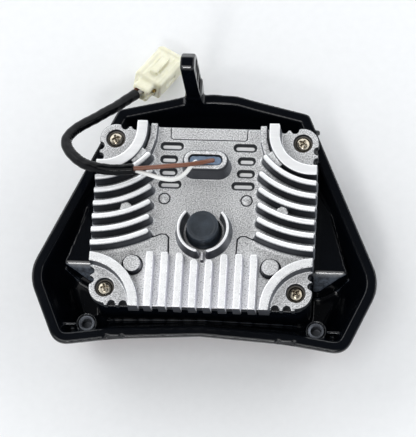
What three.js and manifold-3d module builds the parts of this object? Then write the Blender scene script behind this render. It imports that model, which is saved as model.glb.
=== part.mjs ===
// A motorcycle LED tail light, lying on its lens as it would on a bench.
// Millimetres, +Z up; the lens rests on z = 0, +X is the rider's right, +Y is the
// edge with the upright mounting tab. The heat sink's screw pattern is centred on X = 0, Y = 0
// while the pieces are made, and the finished group is then centred on its own footprint.
import * as THREE from "three";
import { mergeVertices } from "three/addons/utils/BufferGeometryUtils.js";
import Module from "manifold-3d";

const wasm = await Module();
wasm.setup();

// ---------------------------------------------------------------- driving dimensions
const GAP = 0.3; // clearance between pieces that touch

// Corners of the rim's right half, from the middle of the lower edge round to the crown.
// The third number is how far each corner is rounded back.
const RIM_CORNERS = [
  [0, -54.7, 0],
  [39.8, -57.2, 0],
  [67.2, -61.3, 7],
  [82.4, -27, 9],
  [45.6, 56.2, 1.5],
  [21.5, 62, 0],
  [11, 64.9, 0],
  [0, 65.4, 0],
];
const CORNER_STEPS = 3;
const LARGEST_ROUNDING = 0.45; // of the shorter edge beside a corner
const RIM_Z = 33;
const LIP_WIDTH = 4.5;
const LIP_STEP = 0.8; // the lip's raised outer bead
const FLOOR_Z = 12;
const WALL = 2.5;
const LEDGE_Z = 19.5; // where the lens meets the housing

const SCREW_X = 44;
const SCREW_Y = 36.7;
const LOBE_RADIUS = 8;
const SINK_HALF_X = 51.4;
const SINK_TOP_Y = 43.6;
const SINK_BOTTOM_Y = -45.3;
const PLATE_TOP = 45;
const PLATE_THICK = 4;
const GASKET_THICK = 0.8;
const FIN_HEIGHT = 7.8;
const LOW_FIN_HEIGHT = 6; // the comb and the lower thick ribs
const FIN_WIDTH = 3;
const FIN_DRAFT = 0.5; // how much wider each side of a fin is at its root
const FIN_COUNT = 6; // curved fins on each side
const FIN_PITCH = 6.4;
const FIN_FIRST_Y = 14.6;
const FIN_FIRST_RADIUS = 36;
const FIN_RADIUS_STEP = 5;
const FIRST_FIN_TIGHTER = 3; // the first fin bends more closely round the thick rib
const FIN_INNER_X = 24.8;
const ARC_CENTRE_X = 53; // the thick ribs bend round points just outside the corners
const ARC_TOP_Y = 43.7;
const ARC_BOTTOM_Y = -46.5;
const ARC_RADIUS = 21.8;
const LOW_ARC_WIDER = 1.2; // added to the radius of the lower thick ribs
const ARC_WIDTH = 4.5;
const COMB_COUNT = 8; // straight fins along the lower edge
const COMB_PITCH = 6.84;
const COMB_SHIFT_X = 0.45;
const LOW_RIB_END_Y = -46.9; // the low ribs run a little past the plate
const COMB_WIDTH = 3.4;
const COMB_TOP_Y = -20.5;
const COMB_MIDDLE_TOP_Y = -23.4;

const WIRE_BOSS = { x: -0.2, y: 23.4, length: 21, width: 9.8, height: 10.5, draft: 1 };
const WIRE_SLOT = { length: 15.6, width: 4.9 };
const PLUG = { x: 0.3, y: -8.8, radius: 7.3, height: 10.5, bore: 4.9, boreDepth: 7.5 };
const COLLAR = { outer: 4.5, inner: 2.2, height: 6.5 };
const GUARD = { inner: 10.6, outer: 12.2, height: 7.5, draft: 1.3 };

const BOSS = { x: 53.2, y: -49.6, radius: 4.9, top: 30, bore: 4.2, depth: 8, thread: 2.5 };
const TAB = { x: -9.5, front: 60.4, depth: 10.5, root: 7.6, thick: 6.6, top: 75 };
const TAB_EYE = { y: 66, z: 65.5, radius: 3.1 };

const LED = { columns: 4, rows: 3, pitchX: 17.4, pitchY: 18.4, size: 3.4, height: 1.1 };
const BOARD = { width: 82, depth: 64, thick: 1.6, pad: 1 };
const BOARD_SCREW = { x: 37.2, y: 28.2 };

const THROUGH = 60; // height of a cutter that passes right through the lamp

const WIRE_RADIUS = 0.85;
const SLEEVE_RADIUS = 2.75;
const CONNECTOR = { length: 31, width: 13.6, height: 10, neck: 7, sleeveEnd: 0.6, pitch: 4 };

// ---------------------------------------------------------------- finishes
const finish = (color, roughness, metalness = 0) =>
  new THREE.MeshStandardMaterial({ color, roughness, metalness });
const FINISH = {
  abs: () => finish(0x101114, 0.35),
  lens: () => finish(0xb00c12, 0.08),
  castAluminium: () => finish(0xb9babc, 0.45, 0.9),
  chrome: () => finish(0xe4e6e8, 0.08, 1),
  zincSteel: () => finish(0xa9a08c, 0.4, 0.9),
  rubber: () => finish(0x2b2d31, 0.75),
  seal: () => finish(0x1a1a1c, 0.8),
  board: () => finish(0xe9ebe6, 0.5),
  chip: () => finish(0xf4ead0, 0.3),
  pad: () => finish(0x8fa3b8, 0.8),
  potting: () => finish(0x7d93ad, 0.45),
  brown: () => finish(0x7a4a32, 0.5),
  white: () => finish(0xe8e6e0, 0.5),
  black: () => finish(0x18181a, 0.45),
  nylon: () => finish(0xeae6cf, 0.45),
  brass: () => finish(0xc9a14a, 0.35, 1),
};

// ---------------------------------------------------------------- solid helpers
function toSolid(geometry) {
  const bare = geometry.index ? geometry.toNonIndexed() : geometry.clone();
  bare.deleteAttribute("normal");
  bare.deleteAttribute("uv");
  const merged = mergeVertices(bare, 1e-4);
  return new wasm.Manifold(
    new wasm.Mesh({
      numProp: 3,
      vertProperties: merged.attributes.position.array,
      triVerts: new Uint32Array(merged.index.array),
    }),
  );
}

function toGeometry(solid) {
  const mesh = solid.getMesh();
  const geometry = new THREE.BufferGeometry();
  geometry.setAttribute("position", new THREE.BufferAttribute(mesh.vertProperties, 3));
  geometry.setIndex(new THREE.BufferAttribute(mesh.triVerts, 1));
  geometry.computeVertexNormals();
  return geometry;
}

const union = (shapes) => shapes.map(toSolid).reduce((sum, next) => sum.add(next));

function join(...shapes) {
  return toGeometry(union(shapes));
}

function cut(shape, ...cutters) {
  return toGeometry(toSolid(shape).subtract(union(cutters)));
}

function common(shape, other) {
  return toGeometry(toSolid(shape).intersect(toSolid(other)));
}

// ---------------------------------------------------------------- outlines and shapes
const at = (x, y) => new THREE.Vector2(x, y);

function polygonInset(corners, distance) {
  const count = corners.length;
  return corners.map((corner, i) => {
    const before = corners[(i + count - 1) % count];
    const after = corners[(i + 1) % count];
    const a = corner.clone().sub(before).normalize();
    const b = after.clone().sub(corner).normalize();
    const inward = at(-a.y - b.y, a.x + b.x);
    const scale = (2 * distance) / inward.lengthSq();
    return corner.clone().addScaledVector(inward, scale);
  });
}

function roundedCorners(corners, rounding, steps) {
  const points = [];
  const count = corners.length;
  corners.forEach((corner, i) => {
    if (!rounding[i]) {
      points.push(corner.clone());
      return;
    }
    const before = corners[(i + count - 1) % count];
    const after = corners[(i + 1) % count];
    const shortest = Math.min(corner.distanceTo(before), corner.distanceTo(after));
    const reach = Math.min(rounding[i], LARGEST_ROUNDING * shortest);
    const towards = (other) => other.clone().sub(corner).setLength(reach).add(corner);
    const start = towards(before);
    const end = towards(after);
    points.push(...new THREE.QuadraticBezierCurve(start, corner, end).getPoints(steps));
  });
  return points;
}

// The tray's outline, moved inwards from the rim.
function trayOutline(inset) {
  const right = RIM_CORNERS.map(([x, y, r]) => [at(x, y), r]);
  const left = right.slice(1, -1).reverse().map(([p, r]) => [at(-p.x, p.y), r]);
  const all = [...right, ...left];
  return roundedCorners(
    polygonInset(all.map(([p]) => p), inset),
    all.map(([, r]) => r),
    CORNER_STEPS,
  );
}

function rectangle(width, depth, radius = 0, steps = 3) {
  const x = width / 2;
  const y = depth / 2;
  const corners = [at(-x, -y), at(x, -y), at(x, y), at(-x, y)];
  return roundedCorners(corners, corners.map(() => radius), steps);
}

function circle(radius, sides, x = 0, y = 0) {
  return Array.from({ length: sides }, (_, i) => {
    const angle = (2 * Math.PI * i) / sides;
    return at(x + radius * Math.cos(angle), y + radius * Math.sin(angle));
  });
}

function obround(length, width, steps = 4) {
  const radius = width / 2;
  const reach = length / 2 - radius;
  const end = (side) =>
    Array.from({ length: 2 * steps + 1 }, (_, i) => {
      const angle = side + Math.PI * (i / (2 * steps) - 0.5);
      return at(Math.cos(side) * reach + radius * Math.cos(angle), radius * Math.sin(angle));
    });
  return [...end(0), ...end(Math.PI)];
}

// A band of the given width along a list of points, closed at both ends.
function band(spine, width) {
  const sides = [1, -1].map((side) =>
    spine.map((point, i) => {
      const before = spine[Math.max(i - 1, 0)];
      const after = spine[Math.min(i + 1, spine.length - 1)];
      const along = after.clone().sub(before).normalize();
      return at(point.x - along.y * side * (width / 2), point.y + along.x * side * (width / 2));
    }),
  );
  const outline = [...sides[1], ...sides[0].reverse()];
  return THREE.ShapeUtils.area(outline) < 0 ? outline.reverse() : outline;
}

function arcPoints(x, y, radius, from, to, steps) {
  return Array.from({ length: steps + 1 }, (_, i) => {
    const angle = from + ((to - from) * i) / steps;
    return at(x + radius * Math.cos(angle), y + radius * Math.sin(angle));
  });
}

// A closed solid through outlines with equal point counts at rising heights.
function loft(...sections) {
  const count = sections[0][0].length;
  const vertices = sections.flatMap(([outline, z]) => outline.flatMap((p) => [p.x, p.y, z]));
  const faces = [];
  for (let s = 0; s < sections.length - 1; s++) {
    for (let i = 0; i < count; i++) {
      const a = s * count + i;
      const b = s * count + ((i + 1) % count);
      faces.push(a, b, b + count, a, b + count, a + count);
    }
  }
  const last = (sections.length - 1) * count;
  for (const [a, b, c] of THREE.ShapeUtils.triangulateShape(sections[0][0], [])) {
    faces.push(a, c, b);
  }
  for (const [a, b, c] of THREE.ShapeUtils.triangulateShape(sections.at(-1)[0], [])) {
    faces.push(last + a, last + b, last + c);
  }
  const geometry = new THREE.BufferGeometry();
  geometry.setAttribute("position", new THREE.Float32BufferAttribute(vertices, 3));
  geometry.setIndex(faces);
  return geometry;
}

const prism = (outline, bottom, top) => loft([outline, bottom], [outline, top]);
const moved = (outline, x, y) => outline.map((p) => at(p.x + x, p.y + y));
const mirrored = (outline) => outline.map((p) => at(-p.x, p.y)).reverse();
const disc = (radius, sides, x, y, bottom, top) => prism(circle(radius, sides, x, y), bottom, top);

function box(x, y, z, width, depth, height) {
  return new THREE.BoxGeometry(width, depth, height).translate(x, y, z);
}

function tube(points, radius, sides, steps) {
  return new THREE.ExtrudeGeometry(new THREE.Shape(circle(radius, sides)), {
    extrudePath: new THREE.CatmullRomCurve3(points.map((p) => new THREE.Vector3(...p))),
    steps,
    bevelEnabled: false,
  });
}

const bothSides = (make) => [1, -1].flatMap((side) => make(side));
const screwPlaces = [1, -1].flatMap((sy) => [-1, 1].map((sx) => [sx * SCREW_X, sy * SCREW_Y]));

// ---------------------------------------------------------------- levels inside the lamp
const plateBottom = PLATE_TOP - PLATE_THICK;
const gasketTop = plateBottom - GAP;
const seatZ = gasketTop - GASKET_THICK - GAP;
const padTop = plateBottom - GAP;
const boardTop = padTop - BOARD.pad - GAP;
const boardBottom = boardTop - BOARD.thick;
const reflectorTop = boardBottom - GAP - LED.height - GAP;
const lensTop = LEDGE_Z - 1.6;
const finTop = PLATE_TOP + FIN_HEIGHT;
const bossTop = PLATE_TOP + WIRE_BOSS.height;
const pottingTop = bossTop - 0.9;

// ---------------------------------------------------------------- housing
const PEDESTAL = { side: 50.2, top: 42.4, bottom: -44.2, radius: 7 };
const CHAMBER = { width: 93, depth: 79, radius: 3, y: -0.9 };

function pedestalOutline(inset) {
  const depth = PEDESTAL.top - PEDESTAL.bottom;
  const outline = rectangle(2 * (PEDESTAL.side - inset), depth - 2 * inset, PEDESTAL.radius);
  return moved(outline, 0, (PEDESTAL.top + PEDESTAL.bottom) / 2);
}

function chamberOutline(inset, radius = CHAMBER.radius) {
  const outline = rectangle(CHAMBER.width - 2 * inset, CHAMBER.depth - 2 * inset, radius);
  return moved(outline, 0, CHAMBER.y);
}

// Ledges beside the heat sink: their tops fall from the crest towards the tab edge,
// and a sloped nose falls from the crest to the tray's floor.
const SHOULDER = { crestY: -22.3, farY: 43, crestZ: 30, farZ: 23, inset: 13.5 };
const NOSE = { y: -36.5, z: 12.8, overlap: 0.5 };

function shoulderEdgeX(y) {
  const [, , , [x1, y1], [x2, y2]] = RIM_CORNERS;
  return x1 + ((x2 - x1) * (y - y1)) / (y2 - y1) - SHOULDER.inset;
}

// A prism whose top is a plane: its height depends on Y alone.
function slopedPrism(outline, bottom, heightAt) {
  const geometry = prism(outline, bottom, bottom + 1);
  const position = geometry.attributes.position;
  for (let i = 0; i < position.count; i++) {
    if (position.getZ(i) > bottom) position.setZ(i, heightAt(position.getY(i)));
  }
  return geometry;
}

function shoulder(side, shrink, bottom) {
  const nearY = SHOULDER.crestY + shrink;
  const outline = [
    at(PEDESTAL.side - 3, nearY),
    at(shoulderEdgeX(nearY) - shrink, nearY),
    at(PEDESTAL.side + 1 - shrink, 30),
    at(PEDESTAL.side - 3, SHOULDER.farY),
  ];
  const slope = (SHOULDER.farZ - SHOULDER.crestZ) / (SHOULDER.farY - SHOULDER.crestY);
  const heightAt = (y) => SHOULDER.crestZ + slope * (y - SHOULDER.crestY) - shrink;
  return slopedPrism(side > 0 ? outline : mirrored(outline), bottom, heightAt);
}

function shoulderNose(side) {
  const crestY = SHOULDER.crestY + NOSE.overlap;
  const outline = [
    at(PEDESTAL.side - 3, NOSE.y),
    at(PEDESTAL.side + 0.3, NOSE.y),
    at(shoulderEdgeX(SHOULDER.crestY), SHOULDER.crestY),
    at(shoulderEdgeX(SHOULDER.crestY) - NOSE.overlap, crestY),
    at(PEDESTAL.side - 3, crestY),
  ];
  const slope = (SHOULDER.crestZ - 0.1 - NOSE.z) / (crestY - NOSE.y);
  const heightAt = (y) => NOSE.z + slope * (y - NOSE.y);
  return slopedPrism(side > 0 ? outline : mirrored(outline), 0, heightAt);
}

// A side view (Y across, Z up) pushed along X into a plate of the given thickness.
function sidePlate(profile, thickness, x) {
  const plate = new THREE.ExtrudeGeometry(new THREE.Shape(profile), {
    depth: thickness,
    bevelEnabled: false,
  });
  return plate
    .translate(0, 0, -thickness / 2)
    .rotateX(Math.PI / 2)
    .rotateZ(Math.PI / 2)
    .translate(x, 0, 0);
}

// The upright tab: a flat plate with an eye for the upper bolt, on a wider root.
function tab() {
  const back = TAB.front + TAB.depth;
  const rootZ = FLOOR_Z + 6;
  const plate = sidePlate(
    [
      at(TAB.front + 0.5, rootZ),
      at(back - 6.5, rootZ),
      at(back - 1.2, RIM_Z - 4),
      at(back + 0.6, RIM_Z + 8),
      at(back + 0.6, TAB_EYE.z - 2),
      at(back - 0.8, TAB.top - 4.5),
      at(back - 4.6, TAB.top),
      at(TAB.front + 0.8, TAB.top),
      at(TAB.front, TAB.top - 1.4),
    ],
    TAB.thick,
    TAB.x,
  );
  const root = sidePlate(
    [
      at(TAB.front + 0.2, rootZ + 1),
      at(back - 6, rootZ + 1),
      at(back - 1.8, RIM_Z - 3),
      at(back - 0.6, RIM_Z + 6),
      at(TAB.front - 0.4, RIM_Z + 6),
    ],
    TAB.root,
    TAB.x,
  );
  const eye = new THREE.CylinderGeometry(TAB_EYE.radius, TAB_EYE.radius, 20, 20);
  eye.rotateZ(Math.PI / 2).translate(TAB.x, TAB_EYE.y, TAB_EYE.z);
  // Recesses that lighten the tab's right face, with a rib left between them.
  const recessX = TAB.x + TAB.thick / 2;
  const upper = box(recessX, 66, 55.4, 4.4, 6.4, 8);
  const lower = box(recessX, 66, 44.6, 4.4, 6.4, 8.6);
  return cut(join(plate, root), eye, upper, lower);
}

// Sections of the tray: how far each outline lies inside the rim, and its height.
const TRAY_OUTSIDE = [
  [15.8, FLOOR_Z - WALL],
  [9.4, LEDGE_Z],
  [5.4, LEDGE_Z + 0.01],
  [0.6, RIM_Z - 3.5],
  [0, RIM_Z - 3],
  [0, RIM_Z],
];
const TRAY_INSIDE = [
  [17.5, FLOOR_Z],
  [8.2, RIM_Z - 8],
  [LIP_WIDTH + 0.6, RIM_Z - LIP_STEP],
  [LIP_WIDTH, RIM_Z - LIP_STEP + 0.01],
  [LIP_WIDTH, RIM_Z + 1],
];
const LIP_BEAD = 2.4; // width of the lip's raised outer bead
const trayLoft = (sections) => loft(...sections.map(([inset, z]) => [trayOutline(inset), z]));

// Thin webs that brace each lower boss: offset outwards, offset in Y, middle height and size.
const GUSSETS = [
  { out: 7, dy: 0, z: 20, size: [8, 1.2, 17] },
  { out: 0, dy: -5, z: 20, size: [1.2, 6, 15] },
  { out: -6, dy: -3, z: 18, size: [1.2, 9, 12] },
];
// Clip notches in the lower lip: distance from the middle, Y, and size.
const CLIP_NOTCHES = [
  { x: 39.8, y: -57.4, size: [5.5, 1.6, 3] },
  { x: 36.2, y: -57, size: [1.2, 2.4, 5] },
  { x: 43.4, y: -57.4, size: [1.2, 2.4, 5] },
];
const LIP_NUBS = [
  [70.9, -4.8],
  [-70.9, -4.8],
  [50, 47.5],
];
const SCREW_POST_RADIUS = 5.6;
const PILOT_RADIUS = 1.75;

function housing() {
  const outer = trayLoft(TRAY_OUTSIDE);
  const recess = trayLoft(TRAY_INSIDE);
  const lipStep = cut(
    prism(trayOutline(LIP_BEAD), RIM_Z - LIP_STEP, RIM_Z + 1),
    prism(trayOutline(LIP_WIDTH + 1), RIM_Z - LIP_STEP - 1, RIM_Z + 2),
  );
  const bosses = bothSides((side) => [
    disc(BOSS.radius, 20, side * BOSS.x, BOSS.y, FLOOR_Z - 1, BOSS.top),
  ]);
  const gussets = bothSides((side) =>
    GUSSETS.map(({ out, dy, z, size }) => box(side * (BOSS.x + out), BOSS.y + dy, z, ...size)),
  );
  const shoulders = bothSides((side) => [shoulder(side, 0, 0), shoulderNose(side)]);
  const pedestal = prism(pedestalOutline(0), 0, THROUGH);
  const trough = cut(recess, pedestal, ...bosses, ...gussets, ...shoulders);
  const screwPosts = screwPlaces.map(([x, y]) =>
    disc(SCREW_POST_RADIUS, 16, x, y, FLOOR_Z + 10, seatZ),
  );
  const chamber = cut(prism(chamberOutline(0), 0, THROUGH), ...screwPosts);
  const shoulderCores = bothSides((side) => [shoulder(side, WALL, 0)]);
  const pilots = screwPlaces.map(([x, y]) =>
    disc(PILOT_RADIUS, 12, x, y, FLOOR_Z + 14, THROUGH),
  );
  const insertBores = bothSides((side) => [
    disc(BOSS.bore, 20, side * BOSS.x, BOSS.y, BOSS.top - BOSS.depth, BOSS.top + 5),
  ]);
  const clipNotches = bothSides((side) =>
    CLIP_NOTCHES.map(({ x, y, size }) => box(side * x, y, RIM_Z, ...size)),
  );
  const nubs = LIP_NUBS.map(([x, y]) => disc(1.1, 8, x, y, RIM_Z - 3, RIM_Z - 0.4));
  const moulded = join(
    outer,
    prism(pedestalOutline(0), LEDGE_Z + 1, seatZ),
    tab(),
    ...nubs,
  );
  return cut(
    moulded,
    trough,
    lipStep,
    chamber,
    ...shoulderCores,
    ...pilots,
    ...insertBores,
    ...clipNotches,
  );
}

// A blind threaded insert, moulded into each lower boss.
function mountInsert() {
  const bottom = BOSS.top - BOSS.depth + GAP;
  const top = BOSS.top - 0.2;
  return cut(
    disc(BOSS.bore - GAP, 20, 0, 0, bottom, top),
    disc(BOSS.thread, 16, 0, 0, bottom + 1, top + 2),
  );
}

// ---------------------------------------------------------------- lens side
const LENS_OUTSIDE = [
  [23, 0],
  [15.5, 2.2],
  [10, 7.5],
  [6.4, lensTop],
];
const LENS_INSIDE = [
  [24, 2.6],
  [17, 4.6],
  [12.3, 9.5],
  [8.9, lensTop],
  [8.9, lensTop + 2],
];
const SEAL_INSETS = { outer: 6.9, inner: 8.5 };

const lens = () => cut(trayLoft(LENS_OUTSIDE), trayLoft(LENS_INSIDE));

function lensSeal() {
  const bottom = lensTop + GAP;
  const top = LEDGE_Z - GAP;
  return cut(
    prism(trayOutline(SEAL_INSETS.outer), bottom, top),
    prism(trayOutline(SEAL_INSETS.inner), bottom - 1, top + 1),
  );
}

const ledPlaces = [];
for (let row = 0; row < LED.rows; row++) {
  for (let column = 0; column < LED.columns; column++) {
    const x = (column - (LED.columns - 1) / 2) * LED.pitchX;
    const y = ((LED.rows - 1) / 2 - row) * LED.pitchY;
    ledPlaces.push([x, y]);
  }
}

// The reflector is a block of round cells with a flare round it that ends in a thin flange.
const REFLECTOR = { width: 73, depth: 60, chamfer: 8, cellZ: 21, wall: 1.5 };
const FLARE = { width: 88, depth: 73, flange: 1.6, border: 3, radius: 4, clearInset: 15 };
const CELL = { mouth: 8.3, waist: 6.6, waistZ: 7, throat: 3 };

function reflector() {
  const { width, depth, chamfer, cellZ, wall } = REFLECTOR;
  const flangeTop = FLOOR_Z - WALL - GAP;
  const grown = (extra) => rectangle(width + extra, depth + extra, FLARE.radius);
  const mouth = (extra) => rectangle(FLARE.width + extra, FLARE.depth + extra, FLARE.radius);
  const corners = Array(4).fill(chamfer);
  const block = prism(roundedCorners(rectangle(width, depth), corners, 1), cellZ, reflectorTop);
  const flare = loft([mouth(0), flangeTop - 1], [grown(2), cellZ + 1.2]);
  const flareCore = loft([mouth(-1), flangeTop - 3], [grown(-wall), cellZ]);
  const flange = cut(
    prism(mouth(FLARE.border), flangeTop - FLARE.flange, flangeTop),
    prism(mouth(-FLARE.border), flangeTop - 3, flangeTop + 1),
  );
  const cells = ledPlaces.map(([x, y]) =>
    loft(
      [circle(CELL.mouth, 16, x, y), cellZ - 0.5],
      [circle(CELL.waist, 16, x, y), cellZ + CELL.waistZ],
      [circle(CELL.throat, 16, x, y), reflectorTop + 0.5],
    ),
  );
  const insideHousing = prism(trayOutline(FLARE.clearInset), 0, THROUGH);
  const surround = common(join(cut(flare, flareCore), flange), insideHousing);
  return cut(join(surround, block), ...cells);
}

// ---------------------------------------------------------------- electronics
function ledBoard() {
  const plate = prism(
    roundedCorners(rectangle(BOARD.width, BOARD.depth), Array(4).fill(2), 2),
    boardBottom,
    boardTop,
  );
  const holes = boardScrewPlaces.map(([x, y]) => disc(1.6, 10, x, y, 0, THROUGH));
  return cut(plate, ...holes);
}

const boardScrewPlaces = [1, -1].flatMap((sy) =>
  [-1, 1].map((sx) => [sx * BOARD_SCREW.x, sy * BOARD_SCREW.y]),
);

function boardScrew() {
  const headTop = boardBottom - GAP;
  return join(
    disc(2.2, 12, 0, 0, headTop - 1.4, headTop),
    disc(1.1, 10, 0, 0, headTop - 0.5, plateBottom + 2.2),
  );
}

function ledPackage() {
  const top = boardBottom - GAP;
  const half = LED.size / 2;
  return join(
    box(0, 0, top - 0.3, LED.size, LED.size, 0.6),
    loft(
      [circle(half * 0.55, 12), top - LED.height],
      [circle(half * 0.85, 12), top - 0.4],
    ),
  );
}

// ---------------------------------------------------------------- heat sink
function sinkOutline() {
  const shape = rectangle(2 * SINK_HALF_X, SINK_TOP_Y - SINK_BOTTOM_Y, 0);
  return moved(shape, 0, (SINK_TOP_Y + SINK_BOTTOM_Y) / 2);
}

function finSpine(k, side) {
  const edgeY = FIN_FIRST_Y - FIN_PITCH * (k - 1);
  const tighter = k === 1 ? FIRST_FIN_TIGHTER : 0;
  const radius = FIN_FIRST_RADIUS + FIN_RADIUS_STEP * (k - 1) - tighter;
  const reach = Math.asin((ARC_CENTRE_X - FIN_INNER_X - (k === 1 ? 1.6 : 0)) / radius);
  const start = Math.asin((ARC_CENTRE_X - SINK_HALF_X) / radius);
  const spine = arcPoints(
    ARC_CENTRE_X,
    edgeY + radius,
    radius,
    -Math.PI / 2 - start,
    -Math.PI / 2 - reach,
    7,
  );
  return side > 0 ? spine : spine.map((p) => at(-p.x, p.y));
}

function rib(spine, width, draft, height, base = PLATE_TOP - 1) {
  return loft([band(spine, width + 2 * draft), base], [band(spine, width), PLATE_TOP + height]);
}

function cornerArc(side, centreY, direction) {
  const upper = direction > 0;
  const spine = arcPoints(
    ARC_CENTRE_X,
    centreY,
    ARC_RADIUS + (upper ? 0 : LOW_ARC_WIDER),
    Math.PI + direction * 0.01,
    Math.PI + direction * (Math.PI / 2 - 0.073),
    9,
  );
  if (!upper) spine.unshift(at(spine[0].x, LOW_RIB_END_Y));
  const height = upper ? FIN_HEIGHT : LOW_FIN_HEIGHT;
  return rib(side > 0 ? spine : spine.map((p) => at(-p.x, p.y)), ARC_WIDTH, 0.6, height);
}

// The first fin carries on to the top edge as a low ledge, and a web joins it to the thick rib.
const LEDGE = { width: 2.9, draft: 0.3, height: 4.2 };
const LEDGE_SPINE = [
  [27, 28.2],
  [26.3, 32],
  [25.7, 37],
  [25.5, SINK_TOP_Y - 0.2],
];
const WEB_OUTLINE = [
  [31.7, 32.4],
  [28.8, 28.8],
  [27.9, 27.2],
  [33.5, 22],
  [37.4, 24.7],
];
const WEB_DROP = 0.9; // how far the web's top lies below the fins' tops

function firstFinLedge(side) {
  const onSide = (points) => {
    const outline = points.map(([x, y]) => at(x, y));
    return side > 0 ? outline : mirrored(outline);
  };
  return [
    rib(onSide(LEDGE_SPINE), LEDGE.width, LEDGE.draft, LEDGE.height),
    prism(onSide(WEB_OUTLINE), PLATE_TOP - 1, finTop - WEB_DROP),
  ];
}

function combFin(index) {
  const x = COMB_SHIFT_X + (index - (COMB_COUNT - 1) / 2) * COMB_PITCH;
  const middle = index === 3 || index === 4;
  const top = middle ? COMB_MIDDLE_TOP_Y : COMB_TOP_Y;
  const bottom = LOW_RIB_END_Y;
  const outline = (width, grow) => {
    const half = width / 2;
    const nose = middle ? half : 0.6;
    return [
      at(x - half, bottom - grow * 0.5),
      at(x + half, bottom - grow * 0.5),
      at(x + half, top - nose),
      at(x + half * 0.6, top + grow - nose * 0.25),
      at(x - half * 0.6, top + grow - nose * 0.25),
      at(x - half, top - nose),
    ];
  };
  return loft(
    [outline(COMB_WIDTH + 1.1, 0.6), PLATE_TOP - 1],
    [outline(COMB_WIDTH, 0), PLATE_TOP + LOW_FIN_HEIGHT],
  );
}

function bossOutline(grow) {
  const { x, y, length, width } = WIRE_BOSS;
  return moved(obround(length + 2 * grow, width + 2 * grow), x, y);
}

function slotOutline(inset) {
  const { length, width } = WIRE_SLOT;
  return moved(obround(length - 2 * inset, width - 2 * inset), WIRE_BOSS.x, WIRE_BOSS.y);
}

function guardWall(side) {
  const from = side > 0 ? -1.32 : Math.PI + 1.32;
  const to = side > 0 ? 0.72 : Math.PI - 0.72;
  const middle = (GUARD.inner + GUARD.outer) / 2;
  const spine = arcPoints(PLUG.x, PLUG.y, middle, from, to, 9);
  return rib(spine, GUARD.outer - GUARD.inner, GUARD.draft * 0.6, GUARD.height);
}

// Shallow pockets beside the wire outlet: X, Y and length.
const SLOT_ROWS = [
  [17.2, 33.6, 10.6],
  [18.2, 27, 8],
  [18.1, 20.7, 8],
  [17.1, 14.6, 10.4],
];
const SLOT_WIDTH = 3.4;
const SLOT_DEPTH = 1.6;
// Round bites out of the plate's edge between the ribs.
const SCALLOPS = [
  [SINK_HALF_X - 0.5, 28.8],
  [SINK_HALF_X - 0.5, 33.2],
  [34.9, SINK_TOP_Y - 0.6],
  [39.7, SINK_TOP_Y - 0.6],
  [SINK_HALF_X - 0.5, -29],
  [SINK_HALF_X - 0.5, -33.3],
  [40.3, SINK_BOTTOM_Y + 0.8],
  [34.9, SINK_BOTTOM_Y + 0.8],
];
const SCALLOP_RADIUS = 1.75;
// Round pads on the plate: X, Y, radius and height.
const PADS = [
  [31.9, -24.9, 4.2, 1.4],
  [36.1, 1.2, 3.1, 4.6],
];
const COUNTERBORE = { radius: 4.4, depth: 1.9 };
const CLEARANCE_RADIUS = 2.2;

function heatSink() {
  const lobes = screwPlaces.map(([x, y]) => disc(LOBE_RADIUS, 28, x, y, plateBottom, PLATE_TOP));
  const scallops = bothSides((side) =>
    SCALLOPS.map(([x, y]) =>
      disc(SCALLOP_RADIUS, 10, side * x, y, plateBottom - 1, PLATE_TOP + 1),
    ),
  );
  const cornerCuts = screwPlaces.map(([x, y]) => {
    const outX = x + Math.sign(x) * 4;
    const outY = y + Math.sign(y) * 4;
    const block = box(outX, outY, (plateBottom + PLATE_TOP) / 2, 8, 8, PLATE_THICK + 2);
    return cut(block, disc(LOBE_RADIUS, 28, x, y, plateBottom - 2, PLATE_TOP + 2));
  });
  const plate = cut(
    join(prism(sinkOutline(), plateBottom, PLATE_TOP), ...lobes),
    ...scallops,
    ...cornerCuts,
  );
  const curved = bothSides((side) =>
    Array.from({ length: FIN_COUNT }, (_, i) =>
      rib(finSpine(i + 1, side), FIN_WIDTH, FIN_DRAFT, FIN_HEIGHT),
    ),
  );
  const arcs = bothSides((side) => [
    cornerArc(side, ARC_TOP_Y, 1),
    cornerArc(side, ARC_BOTTOM_Y, -1),
    ...firstFinLedge(side),
  ]);
  const comb = Array.from({ length: COMB_COUNT }, (_, i) => combFin(i));
  const boss = loft([bossOutline(WIRE_BOSS.draft), PLATE_TOP - 1], [bossOutline(0), bossTop]);
  const pads = bothSides((side) =>
    PADS.map(([x, y, radius, height]) =>
      disc(radius, 18, side * x, y, PLATE_TOP - 1, PLATE_TOP + height),
    ),
  );
  const collar = disc(COLLAR.outer, 20, PLUG.x, PLUG.y, PLATE_TOP - 1, PLATE_TOP + COLLAR.height);
  const slots = bothSides((side) =>
    SLOT_ROWS.map(([x, y, length]) => {
      const outline = moved(obround(length, SLOT_WIDTH, 3), side * x, y);
      return prism(outline, PLATE_TOP - SLOT_DEPTH, PLATE_TOP + 1);
    }),
  );
  const screwHoles = screwPlaces.flatMap(([x, y]) => [
    disc(COUNTERBORE.radius, 24, x, y, PLATE_TOP - COUNTERBORE.depth, PLATE_TOP + 3),
    disc(CLEARANCE_RADIUS, 14, x, y, plateBottom - 1, PLATE_TOP),
  ]);
  const wireSlot = prism(slotOutline(0), plateBottom - 1, THROUGH);
  const vent = disc(COLLAR.inner, 14, PLUG.x, PLUG.y, plateBottom - 1, THROUGH);
  const boardHoles = boardScrewPlaces.map(([x, y]) =>
    disc(1.4, 10, x, y, plateBottom - 1, plateBottom + 2.6),
  );
  return cut(
    join(plate, ...curved, ...arcs, ...comb, boss, guardWall(1), guardWall(-1), ...pads, collar),
    ...slots,
    ...screwHoles,
    wireSlot,
    vent,
    ...boardHoles,
  );
}

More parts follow.
